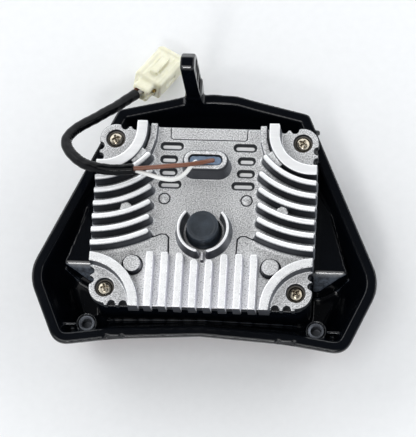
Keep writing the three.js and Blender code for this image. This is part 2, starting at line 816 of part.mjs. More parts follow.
function gasket() {
  const holes = screwPlaces.map(([x, y]) => disc(2.4, 12, x, y, 0, THROUGH));
  return cut(
    prism(pedestalOutline(0.4), gasketTop - GASKET_THICK, gasketTop),
    prism(chamberOutline(0.75, 9), 0, THROUGH),
    ...holes,
  );
}

const SINK_SCREW = { shank: 1.45, tipZ: 28, head: 3.5, crown: 2.5, height: 2.2 };

function sinkScrew() {
  const { shank, tipZ, head, crown, height } = SINK_SCREW;
  const seat = PLATE_TOP - COUNTERBORE.depth + GAP;
  const pin = disc(shank, 12, 0, 0, tipZ, seat + 0.5);
  const cap = loft(
    [circle(head, 20), seat],
    [circle(head, 20), seat + height / 2],
    [circle(crown, 20), seat + height],
  );
  const recess = [1, -1].map((turn) =>
    box(0, 0, seat + height, 3.4, 0.8, 2.4).rotateZ((turn * Math.PI) / 4),
  );
  return cut(join(pin, cap), ...recess);
}

// ---------------------------------------------------------------- rubber plug and harness
function breatherPlug() {
  const bottom = PLATE_TOP + GAP;
  const top = PLATE_TOP + PLUG.height;
  const profile = [
    [0, bottom + PLUG.boreDepth],
    [PLUG.bore, bottom + PLUG.boreDepth],
    [PLUG.bore, bottom],
    [PLUG.radius + 1.1, bottom],
    [PLUG.radius + 1.1, bottom + 1.6],
    [PLUG.radius + 0.2, bottom + 2.2],
    [PLUG.radius, top - 0.8],
    [PLUG.radius - 0.8, top],
    [0, top],
  ];
  return new THREE.LatheGeometry(profile.map(([r, z]) => at(r, z)), 28).rotateX(Math.PI / 2);
}

const wirePotting = () => prism(slotOutline(GAP), plateBottom + 0.4, pottingTop);

// Routes of the harness, from the potting to the connector on the bench.
const WIRE_START_Z = pottingTop + 2 * GAP;
const BROWN_ROUTE = [
  [3.4, 23.2, WIRE_START_Z],
  [3.1, 23.1, WIRE_START_Z + 1.2],
  [-1.5, 22.4, 58.7],
  [-9, 21, 59.2],
  [-18, 19.2, 58.9],
  [-26, 17.7, 58.5],
  [-31.4, 17.1, 58.25],
];
const WHITE_ROUTE = [
  [-4.4, 22.3, WIRE_START_Z],
  [-4.8, 22, WIRE_START_Z + 0.9],
  [-8.5, 19.4, 56.9],
  [-13.5, 15.8, 56.7],
  [-19.5, 14.4, 56.5],
  [-26, 15.3, 56.4],
  [-31.4, 16.1, 56.5],
];
const BLACK_ROUTE = [
  [-0.6, 24.3, WIRE_START_Z],
  [-0.9, 24.2, WIRE_START_Z + 0.9],
  [-5, 23.6, 57.4],
  [-13, 20.9, 57.1],
  [-20, 19.2, 56.7],
  [-26.5, 18.4, 56.4],
  [-31.4, 18.1, 56.5],
];
const SLEEVE_ROUTE = [
  [-31.7, 17.1, 57.1],
  [-38, 16.6, 57.05],
  [-44, 16.6, 57],
  [-50.5, 17.4, 56.6],
  [-57.5, 20.6, 54.6],
  [-63.8, 27, 51.2],
  [-67.2, 35, 47],
  [-66.5, 43, 42.4],
  [-61.4, 50.4, 37.4],
  [-54.1, 57.4, 31],
  [-46.2, 64, 24.7],
  [-39.7, 70.1, 19.6],
];

// ---------------------------------------------------------------- connector
const CONNECTOR_START = new THREE.Vector3(-38.4, 69.7, 19.35);
const CONNECTOR_AXIS = new THREE.Vector3(15.5, 28.3, -14.8).normalize();

// Turns a piece drawn along +X, with its top along +Z, to lie along the connector's axis.
function alongConnector(geometry) {
  const across = new THREE.Vector3(0, 0, 1).cross(CONNECTOR_AXIS).normalize();
  const up = CONNECTOR_AXIS.clone().cross(across);
  const turn = new THREE.Matrix4().makeBasis(CONNECTOR_AXIS, across, up);
  return geometry.applyMatrix4(turn.setPosition(CONNECTOR_START));
}

function connectorHousing() {
  const { length, width, height, neck, sleeveEnd, pitch } = CONNECTOR;
  const bodyMiddle = sleeveEnd + (neck + length) / 2;
  const body = box(bodyMiddle, 0, 0, length - neck, width, height);
  const neckBlock = box(sleeveEnd + neck / 2, 0, 0, neck + 1, width - 4.6, height - 2.4);
  const latch = box(sleeveEnd + 19, 0, height / 2 + 0.9, 14, 4.4, 2);
  const socket = box(length - 6, 0, 0, 15, width - 3, height - 3);
  const wireHoles = [-pitch, 0, pitch].map((y) => box(10, y, 0, 22, 2.8, 3));
  const entry = box(sleeveEnd, 0, 0, 5, 7, 5.4);
  return cut(join(body, neckBlock, latch), socket, ...wireHoles, entry);
}

// A crimped socket terminal: its barrel in the wire hole and its blade in the mouth.
function terminal(index) {
  const y = (index - 1) * CONNECTOR.pitch;
  return join(box(13.5, y, 0, 13, 2, 2), box(22.8, y, 0, 7, 1.6, 0.8));
}

// ---------------------------------------------------------------- assembly
const tailLight = new THREE.Group();
const lamp = new THREE.Group();
const harness = new THREE.Group();
tailLight.add(lamp, harness);

function add(group, name, geometry, material, x = 0, y = 0) {
  const mesh = new THREE.Mesh(geometry, material);
  mesh.name = name;
  mesh.position.set(x, y, 0);
  group.add(mesh);
}

add(lamp, "housing", housing(), FINISH.abs());
add(lamp, "lens", lens(), FINISH.lens());
add(lamp, "lens_seal", lensSeal(), FINISH.seal());
add(lamp, "reflector", reflector(), FINISH.chrome());
add(lamp, "led_board", ledBoard(), FINISH.board());
ledPlaces.forEach(([x, y], i) => add(lamp, `led_${i + 1}`, ledPackage(), FINISH.chip(), x, y));
boardScrewPlaces.forEach(([x, y], i) =>
  add(lamp, `board_screw_${i + 1}`, boardScrew(), FINISH.zincSteel(), x, y));
add(lamp, "thermal_pad", prism(rectangle(70, 24, 2, 2), padTop - BOARD.pad, padTop), FINISH.pad());
add(lamp, "heat_sink", heatSink(), FINISH.castAluminium());
add(lamp, "heat_sink_gasket", gasket(), FINISH.seal());
screwPlaces.forEach(([x, y], i) =>
  add(lamp, `heat_sink_screw_${i + 1}`, sinkScrew(), FINISH.zincSteel(), x, y));
add(lamp, "breather_plug", breatherPlug(), FINISH.rubber(), PLUG.x, PLUG.y);
add(lamp, "wire_potting", wirePotting(), FINISH.potting());
for (const [name, side] of [["right", 1], ["left", -1]]) {
  add(lamp, `mount_insert_${name}`, mountInsert(), FINISH.zincSteel(), side * BOSS.x, BOSS.y);
}

add(harness, "brown_wire", tube(BROWN_ROUTE, WIRE_RADIUS, 8, 14), FINISH.brown());
add(harness, "white_wire", tube(WHITE_ROUTE, WIRE_RADIUS, 8, 14), FINISH.white());
add(harness, "black_wire", tube(BLACK_ROUTE, WIRE_RADIUS, 8, 14), FINISH.black());
add(harness, "wire_sleeve", tube(SLEEVE_ROUTE, SLEEVE_RADIUS, 10, 22), FINISH.black());
add(harness, "connector_housing", alongConnector(connectorHousing()), FINISH.nylon());
for (let i = 0; i < 3; i++) {
  add(harness, `terminal_${i + 1}`, alongConnector(terminal(i)), FINISH.brass());
}

// The origin is the middle of the lamp's own footprint, at the height it rests on.
const footprint = new THREE.Box3().setFromObject(lamp);
const centre = footprint.getCenter(new THREE.Vector3());
tailLight.position.set(-centre.x, -centre.y, -footprint.min.z);

export default tailLight;
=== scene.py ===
from math import asin, cos, hypot, pi, radians, sin
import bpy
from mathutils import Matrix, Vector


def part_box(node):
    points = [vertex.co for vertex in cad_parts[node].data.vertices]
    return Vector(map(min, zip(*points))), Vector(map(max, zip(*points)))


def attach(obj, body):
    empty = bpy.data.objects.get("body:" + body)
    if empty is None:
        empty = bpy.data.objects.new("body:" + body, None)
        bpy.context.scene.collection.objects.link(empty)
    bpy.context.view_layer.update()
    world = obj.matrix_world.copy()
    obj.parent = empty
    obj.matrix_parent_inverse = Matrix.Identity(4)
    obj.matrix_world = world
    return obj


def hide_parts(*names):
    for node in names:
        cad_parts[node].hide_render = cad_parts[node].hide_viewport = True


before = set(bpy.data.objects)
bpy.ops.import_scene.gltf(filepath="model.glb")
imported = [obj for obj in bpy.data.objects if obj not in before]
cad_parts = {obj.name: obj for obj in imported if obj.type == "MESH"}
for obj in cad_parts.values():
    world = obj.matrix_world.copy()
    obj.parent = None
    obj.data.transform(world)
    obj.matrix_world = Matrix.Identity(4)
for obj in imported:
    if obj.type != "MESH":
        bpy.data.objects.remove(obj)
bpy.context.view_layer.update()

from types import SimpleNamespace as Sizes

import bmesh
import bpy
import numpy as np
from mathutils import Matrix, Vector
from numpy import maximum, minimum
from numpy.linalg import norm

MM = 0.001

# ---- places that the frame gives
SCREWS = ["heat_sink_screw_%d" % i for i in range(1, 5)]


def middle(node):
    low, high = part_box(node)
    return (Vector(low) + Vector(high)) / 2


# The heat sink's screw pattern is the origin of every plan below. Plans are in millimetres.
ORIGIN = sum((middle(n) for n in SCREWS), Vector()) / 4
ORIGIN.z = 0


def place(x, y, z):
    """A plan point, in millimetres, as a point of the frame, in metres."""
    return Vector((x, y, z)) * MM + ORIGIN


def plan_box(node):
    """A CAD node's lowest and highest corners as plan millimetres."""
    return [np.array((Vector(c) - ORIGIN) / MM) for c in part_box(node)]


def linked(name, data):
    """A new object that is in the scene."""
    ob = bpy.data.objects.new(name, data)
    bpy.context.scene.collection.objects.link(ob)
    return ob


# ---- camera
VIEW_AZIMUTH, VIEW_ELEVATION, VIEW_ROLL = (radians(a) for a in (15.8, 70.0, 13.16))
VIEW_DISTANCE = 1.09
LENS_MM, SENSOR_MM = 194.0, 36
NEAR_CLIP = 0.05
AIM = place(1.75, -1.75, 45.0)


def add_camera():
    back = Vector((
        sin(VIEW_AZIMUTH) * cos(VIEW_ELEVATION),
        -cos(VIEW_AZIMUTH) * cos(VIEW_ELEVATION),
        sin(VIEW_ELEVATION),
    ))
    level = Vector((cos(VIEW_AZIMUTH), sin(VIEW_AZIMUTH), 0))
    rise = back.cross(level)
    right = level * cos(VIEW_ROLL) - rise * sin(VIEW_ROLL)
    up = back.cross(right)
    camera = linked("camera", bpy.data.cameras.new("camera"))
    camera.data.lens = LENS_MM
    camera.data.sensor_width = SENSOR_MM
    camera.data.clip_start = NEAR_CLIP
    camera.matrix_world = (
        Matrix.Translation(AIM + back * VIEW_DISTANCE)
        @ Matrix((right, up, back)).transposed().to_4x4()
    )
    bpy.context.scene.camera = camera


add_camera()

# ---- signed distances, negative inside
FAR_OUT = 50  # what a grid holds before anything is drawn in it
FAR_SQUARED = np.float32(1e6)
# The grid step for each piece, in millimetres
GRID = Sizes(tray=0.62, sink=0.36, screw=0.17, insert=0.18, potting=0.26, lens=0.85,
             cups=0.72, connector=0.28)
HALF_ROOT = 0.7071  # for planes at 45 degrees


def smooth_min(a, b, k):
    h = maximum(k - np.abs(a - b), 0) / k
    return minimum(a, b) - h * h * (k / 4)


def smooth_max(a, b, k):
    return -smooth_min(-a, -b, k)


def chain_squared(x, y, points):
    """Squared distance to a chain of straight pieces."""
    nearest = FAR_SQUARED
    for (ax, ay), (bx, by) in zip(points, points[1:]):
        dx, dy = bx - ax, by - ay
        t = np.clip(((x - ax) * dx + (y - ay) * dy) / (dx * dx + dy * dy), 0, 1)
        nearest = minimum(nearest, (x - ax - t * dx) ** 2 + (y - ay - t * dy) ** 2)
    return nearest


def line(x, y, points):
    """Distance to an open line of points."""
    return np.sqrt(chain_squared(x, y, points)).astype(np.float32)


def polygon(x, y, points):
    """Signed distance to a closed outline."""
    points = list(points) + [points[0]]
    inside = np.zeros(np.broadcast(x, y).shape, bool)
    for (ax, ay), (bx, by) in zip(points, points[1:]):
        if ay != by:
            inside ^= ((ay > y) != (by > y)) & (x < ax + (y - ay) / (by - ay) * (bx - ax))
    return (np.sqrt(chain_squared(x, y, points)) * np.where(inside, -1, 1)).astype(np.float32)


def disc(x, y, cx, cy, radius):
    return np.hypot(x - cx, y - cy) - radius


def slab(x, y, cx, cy, width, depth, radius):
    """A rectangle with rounded corners."""
    qx = np.abs(x - cx) - width / 2 + radius
    qy = np.abs(y - cy) - depth / 2 + radius
    outside = np.hypot(maximum(qx, 0), maximum(qy, 0))
    return outside + minimum(maximum(qx, qy), 0) - radius


def arc(cx, cy, radius, start, end, steps=24):
    turns = np.linspace(start, end, steps + 1)
    return [(cx + radius * cos(t), cy + radius * sin(t)) for t in turns]


def on_side(points, side):
    """Points drawn for the right, taken to the given side: 1 is right, -1 is left."""
    return [(side * x, y) for x, y in points]


def rounded(corners, steps):
    """An outline or a profile of (x, y, reach) corners, each rounded from reach before it to reach after it."""
    made = []
    for i, (x, y, reach) in enumerate(corners):
        corner = np.array([x, y])
        if not reach:
            made.append(tuple(corner))
            continue
        before = np.array(corners[i - 1][:2]) - corner
        after = np.array(corners[(i + 1) % len(corners)][:2]) - corner
        start = corner + before / np.hypot(*before) * reach
        end = corner + after / np.hypot(*after) * reach
        for t in np.linspace(0, 1, steps + 1):
            made.append(tuple((1 - t) ** 2 * start + 2 * t * (1 - t) * corner + t * t * end))
    return made


class Solid:
    """A block of space on a grid, in plan millimetres, that holds a solid as signed distances."""

    def __init__(self, low, high, step):
        self.low, self.step = np.array(low, float), step
        counts = np.ceil((np.array(high) - self.low) / step).astype(int) + 1
        axes = [self.low[i] + step * np.arange(n) for i, n in enumerate(counts)]
        self.x = axes[0][:, None, None].astype(np.float32)
        self.y = axes[1][None, :, None].astype(np.float32)
        self.z = axes[2][None, None, :].astype(np.float32)
        self.flat = self.x[:, :, 0], self.y[:, :, 0]
        self.value = np.full(counts, FAR_OUT, np.float32)

    def between(self, bottom, top):
        return np.abs(self.z - (bottom + top) / 2) - (top - bottom) / 2

    def rise(self, outline, bottom, top, draft=0.0, edge=0.5):
        """An outline raised from bottom to top. Its walls lean in by draft for each unit of height."""
        walls = outline[:, :, None] - draft * (top - self.z)
        return smooth_max(walls, self.between(bottom, top), edge)

    def add(self, other, fillet=0.6):
        self.value = smooth_min(self.value, other, fillet)

    def cut(self, other, edge=0.4):
        self.value = smooth_max(self.value, -other, edge)

    def bore(self, outline, edge=0.4):
        """Cuts an outline right through."""
        self.cut(outline[:, :, None] + 0 * self.z, edge)

    def mesh(self, name, turn=None):
        """The surface as quads: one vertex in each cell that the surface passes through."""
        f = np.pad(self.value, 1, constant_values=FAR_OUT)
        inside = f < 0
        n = [s - 1 for s in f.shape]
        corner_offsets = [(i, j, k) for i in (0, 1) for j in (0, 1) for k in (0, 1)]
        count = sum(
            inside[i:i + n[0], j:j + n[1], k:k + n[2]].astype(np.int8)
            for i, j, k in corner_offsets
        )
        cells = np.argwhere((count > 0) & (count < 8))
        index = np.full(n, -1, np.int32)
        index[tuple(cells.T)] = np.arange(len(cells))
        corners = np.array(corner_offsets)
        values = np.stack([f[tuple((cells + c).T)] for c in corners], 1)
        total = np.zeros((len(cells), 3))
        hits = np.zeros(len(cells))
        for a in range(8):
            for b in range(a + 1, 8):
                if np.abs(corners[a] - corners[b]).sum() != 1:
                    continue
                va, vb = values[:, a], values[:, b]
                crossed = (va < 0) != (vb < 0)
                t = np.where(crossed, va / np.where(crossed, va - vb, 1), 0)
                point = corners[a] + t[:, None] * (corners[b] - corners[a])
                total += point * crossed[:, None]
                hits += crossed
        points = (cells + total / hits[:, None] - 1) * self.step + self.low
        quads = []
        for axis in range(3):
            u, v = (axis + 1) % 3, (axis + 2) % 3
            step = np.eye(3, dtype=int)
            first = [slice(0, s) for s in n]
            second = list(first)
            second[axis] = slice(1, n[axis] + 1)
            a, b = inside[tuple(first)], inside[tuple(second)]
            edges = np.argwhere(a != b)
            edges = edges[(edges[:, u] > 0) & (edges[:, v] > 0)]
            ring = [edges - step[u] - step[v], edges - step[v], edges, edges - step[u]]
            quad = np.stack([index[tuple(r.T)] for r in ring], 1)
            leaves = a[tuple(edges.T)]
            quads.append(np.where(leaves[:, None], quad, quad[:, ::-1]))
        quads = np.concatenate(quads)
        return mesh_object(name, turn(points) if turn else points, quads)


def mesh_object(name, points, faces):
    """An object from plan points in millimetres and faces that all have the same number of corners."""
    faces = np.asarray(faces, np.int32)
    sides = faces.shape[1]
    mesh = bpy.data.meshes.new(name)
    mesh.vertices.add(len(points))
    places = np.asarray(points, float) * MM + np.array(ORIGIN)
    mesh.vertices.foreach_set("co", places.astype(np.float32).ravel())
    mesh.loops.add(faces.size)
    mesh.loops.foreach_set("vertex_index", faces.ravel())
    mesh.polygons.add(len(faces))
    mesh.polygons.foreach_set("loop_start", np.arange(len(faces), dtype=np.int32) * sides)
    mesh.update(calc_edges=True)
    mesh.polygons.foreach_set("use_smooth", np.full(len(faces), True))
    return linked(name, mesh)


# ---- materials
class Nodes:
    """Adds shader nodes to a tree. Each method that makes one returns its output."""

    def __init__(self, tree):
        self.tree = tree

    def put(self, socket, value):
        """Sets a socket, or links an output to it."""
        if isinstance(value, bpy.types.NodeSocket):
            self.tree.links.new(value, socket)
        else:
            socket.default_value = value

    def node(self, kind, output, inputs, **settings):
        made = self.tree.nodes.new("ShaderNode" + kind)
        for name, value in settings.items():
            setattr(made, name, value)
        for key, value in inputs.items():
            self.put(made.inputs[key], value)
        return made.outputs[output]

    def spread(self, value, low, high, start=0.3, end=0.7):
        """Maps start..end of a value to low..high."""
        return self.node("MapRange", "Result", {
            "Value": value, "From Min": start, "From Max": end, "To Min": low, "To Max": high})

    def times(self, first, *others):
        for other in others:
            first = self.node("Math", "Value", {0: first, 1: other}, operation="MULTIPLY")
        return first

    def joined(self, first, second):
        return self.node("Math", "Value", {0: first, 1: second}, operation="MAXIMUM")

    def part(self, vector, axis):
        """One coordinate of a vector."""
        return self.node("SeparateXYZ", axis, {"Vector": vector})


class Finish(Nodes):
    """A material whose patterns lie in the object's own coordinates."""

    def __init__(self, name):
        self.material = bpy.data.materials.new(name)
        self.material.use_nodes = True
        super().__init__(self.material.node_tree)
        self.shader = self.tree.nodes["Principled BSDF"]
        self.at = self.node("TexCoord", "Object", {})

    def set(self, **sockets):
        """Sets or links the shader's inputs, written in lower case with underscores."""
        for name, value in sockets.items():
            name = name.replace("_", " ").title().replace("Ior", "IOR")
            self.put(self.shader.inputs[name], value)

    def noise(self, scale, detail=4.0, roughness=0.55, stretch=None):
        at = self.node("Mapping", "Vector", {"Vector": self.at, "Scale": stretch}) if stretch else self.at
        return self.node("TexNoise", "Fac", {
            "Vector": at, "Scale": scale, "Detail": detail, "Roughness": roughness})

    def ramp(self, value, *stops):
        """Runs through colours given as (position, colour)."""
        made = self.tree.nodes.new("ShaderNodeValToRGB")
        elements = made.color_ramp.elements
        for i, (position, colour) in enumerate(stops):
            element = elements[i] if i < 2 else elements.new(position)
            element.position = position
            element.color = (*colour, 1)
        self.put(made.inputs["Fac"], value)
        return made.outputs["Color"]

    def mix(self, share, first, second):
        """The second colour where share is one."""
        made = self.tree.nodes.new("ShaderNodeMix")
        made.data_type = "RGBA"
        self.put(made.inputs["Factor"], share)
        colours = [s for s in made.inputs if s.type == "RGBA"]
        for socket, value in zip(colours, (first, second)):
            self.put(socket, (*value, 1) if isinstance(value, tuple) else value)
        return next(s for s in made.outputs if s.type == "RGBA")

    def bump(self, *layers):
        """Stacks bumps of (height, strength, distance in metres)."""
        below = {}
        for height, strength, distance in layers:
            inputs = {"Height": height, "Strength": strength, "Distance": distance, **below}
            below = {"Normal": self.node("Bump", "Normal", inputs)}
        self.set(normal=below["Normal"])

    def facing(self, direction, start, end):
        """One where the surface faces a fixed direction of the frame."""
        normal = self.node("NewGeometry", "Normal", {})
        dot = self.node("VectorMath", "Value", {0: normal, 1: direction}, operation="DOT_PRODUCT")
        return self.spread(dot, 0.0, 1.0, start, end)

    def facing_up(self, start, end):
        """One where the surface faces up, nought on steep walls."""
        return self.facing((0, 0, 1), start, end)

    def coordinate(self, axis, low, high, start, end):
        """Maps start..end of one coordinate, in metres, to low..high."""
        return self.spread(self.part(self.at, axis), low, high, start, end)

    def above(self, level, blur=0.00005):
        """One where the surface lies above a level, in metres."""
        return self.coordinate("Z", 0.0, 1.0, level - blur, level + blur)

    def between(self, bottom, top, blur=0.0001):
        """One where the surface lies between two levels given in millimetres."""
        below = self.spread(self.above(top * MM, blur), 1.0, 0.0, 0.0, 1.0)
        return self.times(self.above(bottom * MM, blur), below)


def plain(name, dark, light, rough, grain_mm=0.8, relief=0.12, metallic=0.0, **sockets):
    """A moulded or machined finish: mottled colour, uneven gloss and a fine surface grain."""
    look = Finish(name)
    mottle = look.noise(130.0, 5.0)
    look.set(base_color=look.ramp(mottle, (0.3, dark), (0.7, light)), roughness=look.spread(mottle, *rough),
             metallic=metallic, **sockets)
    look.bump((look.noise(1000 / grain_mm, 3.0), relief, 0.0002))
    return look.material


MACHINED_AND_LIT_SIDE = (-0.1, 0.36, 0.93)  # the way that the fins' machined tops face where they are painted bright: painted light, which leaves the near slopes duller
SKIN_GREYS = ((0.34, (0.24, 0.24, 0.245)), (0.47, (0.52, 0.52, 0.525)), (0.60, (0.85, 0.85, 0.85)))
# The pocket grey is painted light for the pocket floors; the cloud and worn greys are the cast skin's own.
CLOUD_GREY, WORN_GREY, POCKET_PAINTED_LIGHT = (0.62, 0.62, 0.63), (0.8, 0.8, 0.805), (0.86, 0.86, 0.865)
# Painted shade for steep walls, lighter or darker at random with the speckle.
WALL_SHADE_GREYS = ((0.35, (0.05, 0.054, 0.064)), (0.65, (0.15, 0.16, 0.18)))
# Painted light for the side walls of the comb, and painted shade for walls that face the near side.
COMB_WALL_PAINTED_LIGHT, NEAR_WALL_SHADE = (0.82, 0.82, 0.86), (0.028, 0.031, 0.04)
# Painted shade: for the walls of pockets, counterbores and screw holes, for the wire boss's rounded top edge,
# and for the counterbore floors.
HOLE_SHADE, BOSS_EDGE_SHADE, COUNTERBORE_SHADE = (0.022, 0.024, 0.028), (0.03, 0.032, 0.038), (0.17, 0.155, 0.135)
COMB_NEAR_Y, COMB_FAR_Y = -0.032, -0.017
COMB_INNER_X, COMB_OUTER_X = 0.026, 0.031


def cast_aluminium():
    """Speckled cast skin; machined fin tops painted bright on their far slopes (painted light); painted shade on
    steep walls, counterbores, pocket walls and the wire boss's edge; painted light on the comb and the pocket
    floors.
    """
    look = Finish("cast_aluminium")
    between, facing, facing_up, times = look.between, look.facing, look.facing_up, look.times
    speckle = look.noise(1800.0, 2.0, 0.6)
    cloud = look.noise(90.0, 5.0)
    grit = look.noise(900.0, 4.0, 0.75)
    scratch = look.noise(700.0, 2.0, 0.5, stretch=(0.05, 1.0, 1.0))
    skin = look.mix(look.spread(cloud, 0.0, 0.3), look.ramp(speckle, *SKIN_GREYS), CLOUD_GREY)
    worn = times(between(PLATE_TOP + 6.6, PLATE_TOP + 8.6), facing_up(0.6, 0.9))
    skin = look.mix(worn, skin, WORN_GREY)
    # The near ends of the comb fins and the plate between them, walls and all, are painted brighter: painted
    # light where the gaps would lie in shade.
    comb = times(look.coordinate("Y", 0.0, 1.0, COMB_FAR_Y, COMB_NEAR_Y),
                 look.coordinate("X", 0.0, 1.0, -COMB_OUTER_X, -COMB_INNER_X),
                 look.coordinate("X", 1.0, 0.0, COMB_INNER_X, COMB_OUTER_X))
    skin = look.mix(comb, skin, look.ramp(speckle, (0.34, (0.5, 0.5, 0.505)), (0.5, (0.98, 0.98, 0.985))))
    across = look.joined(facing((1, 0, 0), 0.7, 0.95), facing((-1, 0, 0), 0.7, 0.95))
    # Steep walls are painted dark, darkest where they face the near side: painted shade; the comb's side walls
    # are painted light instead.
    wall = look.mix(times(comb, across), look.ramp(speckle, *WALL_SHADE_GREYS), COMB_WALL_PAINTED_LIGHT)
    wall = look.mix(facing((0, -1, 0), 0.35, 0.85), wall, NEAR_WALL_SHADE)
    skin = look.mix(facing_up(0.45, 0.85), wall, skin)
    # The pocket floors are painted pale: painted light.
    pocket = times(between(PLATE_TOP - 1.75, PLATE_TOP - 1.4), facing_up(0.6, 0.9))
    skin = look.mix(pocket, skin, POCKET_PAINTED_LIGHT)
    # Everything in these two bands, the walls of the pockets, counterbores and screw holes and the plate's
    # sides, is painted dark: painted shade.
    for bottom, top in ((PLATE_TOP - 1.42, PLATE_TOP - 0.12), (PLATE_TOP - 6, PLATE_TOP - 1.75)):
        skin = look.mix(between(bottom, top, 0.00005), skin, HOLE_SHADE)
    # The wire boss's rounded top edge is painted dark: painted shade.
    rolled = look.spread(facing_up(0.72, 0.9), 1.0, 0.0, 0.0, 1.0)
    skin = look.mix(times(look.above((PLATE_TOP + 8.4) * MM), rolled), skin, BOSS_EDGE_SHADE)
    # The counterbore floors are painted a dark brownish grey: painted shade.
    seat = times(between(PLATE_TOP - 2.3, PLATE_TOP - 1.78), facing_up(0.7, 0.95))
    skin = look.mix(seat, skin, COUNTERBORE_SHADE)
    machined = look.ramp(scratch, (0.35, (0.93, 0.93, 0.935)), (0.65, (0.99, 0.99, 0.99)))
    tops = look.joined(*(between(level - 0.6, level + 0.3) for level in (FIN_TOP, LOW_FIN_TOP)))
    # The machined colour goes only on tops that lean to the far side, so the near slopes stay duller: painted
    # light.
    tops = times(tops, facing(MACHINED_AND_LIT_SIDE, 0.86, 0.96))
    rough = look.node("Mix", "Result", {
        "Factor": tops, "A": look.spread(cloud, 0.42, 0.56), "B": look.spread(scratch, 0.3, 0.44)})
    look.set(base_color=look.mix(tops, skin, machined), metallic=0.45, roughness=rough)
    look.bump((cloud, 0.12, 0.0004), (grit, 0.3, 0.00012), (speckle, 0.25, 0.00006))
    return look.material


def gloss_black():
    """Glossy moulded plastic, dusty in places, with a spark-eroded texture on the shoulders' noses."""
    look = Finish("moulded_black")
    cloud = look.noise(60.0)
    dust = look.noise(900.0, 5.0, 0.8)
    peel = look.noise(300.0, 2.0)
    spark = look.noise(620.0, 3.0, 0.7)
    near = look.coordinate("Y", 1.0, 0.0, -0.024, -0.021)
    nose = look.times(look.facing((0, -0.77, 0.64), 0.93, 0.985), look.between(12.6, 29.6, 0.0004), near)
    # Only the shoulders' crests and the tab's top throw a clear reflection.
    polished = look.joined(look.times(look.between(28.0, 31.5), near), look.above(0.0722))
    crest = look.times(look.facing((0, -0.5, 0.866), 0.95, 0.985), polished)
    base = look.mix(look.spread(dust, 0.0, 1.0, 0.68, 0.86), (0.0018, 0.0025, 0.0042), (0.02, 0.022, 0.026))
    eroded = look.ramp(spark, (0.38, (0.016, 0.02, 0.028)), (0.62, (0.075, 0.09, 0.115)))
    look.set(base_color=look.mix(nose, base, eroded),
             roughness=look.mix(nose, look.spread(cloud, 0.1, 0.19), (0.5, 0.5, 0.5)),
             specular_ior_level=look.spread(crest, 0.36, 1.0, 0.0, 1.0))
    look.bump((peel, 0.05, 0.0002), (dust, 0.06, 0.00005))
    return look.material


def clear_red():
    look = Finish("lens_red")
    cloud = look.noise(80.0, 3.0)
    look.set(base_color=look.ramp(cloud, (0.3, (0.42, 0.004, 0.005)), (0.7, (0.5, 0.006, 0.008))),
             roughness=look.spread(cloud, 0.03, 0.07), transmission_weight=1.0, ior=1.49)
    look.bump((cloud, 0.02, 0.0002))
    return look.material


# ---- driving sizes, in millimetres
RIM_CORNERS = [
    (0, -54.7, 0), (39.8, -57.2, 5), (67.2, -61.3, 7), (82.4, -27, 9),
    (45.6, 56.2, 1.8), (21.5, 62, 4), (11, 64.9, 3), (0, 65.4, 0),
]
CORNER_STEPS = 8
RIM_Z, FLOOR_Z, WALL, LEDGE_Z = 33.0, 12.0, 2.5, 19.5
LIP_WIDTH, SEAT_Z = 4.5, 39.6
# How far each wall stands in from the rim, as (height, inset)
SKIRT = [(FLOOR_Z - WALL, 15.8), (LEDGE_Z, 9.4)]
UPPER_WALL = [(LEDGE_Z, 5.4), (RIM_Z - 3.5, 0.6), (RIM_Z - 2.5, 0)]
HOLLOW = [(FLOOR_Z, 17.5), (RIM_Z - 8, 8.2), (RIM_Z - 0.5, LIP_WIDTH + 0.6), (RIM_Z, LIP_WIDTH)]
# Rounded rectangles: middle, width, depth and corner radius
SEAT_SIDE = 50.2
SEAT = (0, (42.4 - 44.2) / 2, 2 * SEAT_SIDE, 42.4 + 44.2, 7.0)
CHAMBER = (0, -0.9, 93.0, 79.0, 5.0)
SCREW_X, SCREW_Y, SCREW_WALL = 44.0, 36.7, 5.6
SCREW_PLACES = [(sx * SCREW_X, sy * SCREW_Y) for sx in (1, -1) for sy in (1, -1)]
SHOULDER = Sizes(right_crest_y=-21.6, left_crest_y=-20.6, far_y=43.0, crest_z=30.0, far_z=23.0,
                 inset=13.5, nose_length=6.8, nose_x=53.4, nose_fall=1.21, strip=0.6)
BOSS = Sizes(x=53.2, y=-49.6, radius=4.9, top=30.0, bore=4.1, depth=8.0)
# Walls that stay up beside each boss: (out, forward, top, width, depth)
BOSS_WEBS = [(7, 0, 28.5, 8, 1.2), (0, -5, 27.5, 1.2, 6), (-6, -3, 24, 1.2, 9)]
CLIP_NOTCHES = [(39.8, -57.4, 5.5, 1.6), (36.2, -57, 1.2, 2.4), (43.4, -57.4, 1.2, 2.4)]
RIM_NUBS, NUB_RADIUS = [(70.9, -4.8), (-70.9, -4.8), (50, 47.5)], 1.1
TAB = Sizes(x=-9.5, front=60.4, back=70.9, root=7.6, thick=6.6, top=75.0,
            pockets=[(51.4, 59.4), (40.3, 48.9)], pocket_depth=2.2)
EYE_Y, EYE_Z, EYE_RADIUS = 66.0, 65.5, 3.1


def rim_outline():
    """The tray's rim, with each corner rounded back."""
    left = [(-x, y, reach) for x, y, reach in RIM_CORNERS[-2:0:-1]]
    return rounded(RIM_CORNERS + left, CORNER_STEPS)


def lean(z, profile):
    """How far a wall stands in from the rim at each height, from (height, inset) points."""
    return np.interp(z, *zip(*profile)).astype(np.float32)


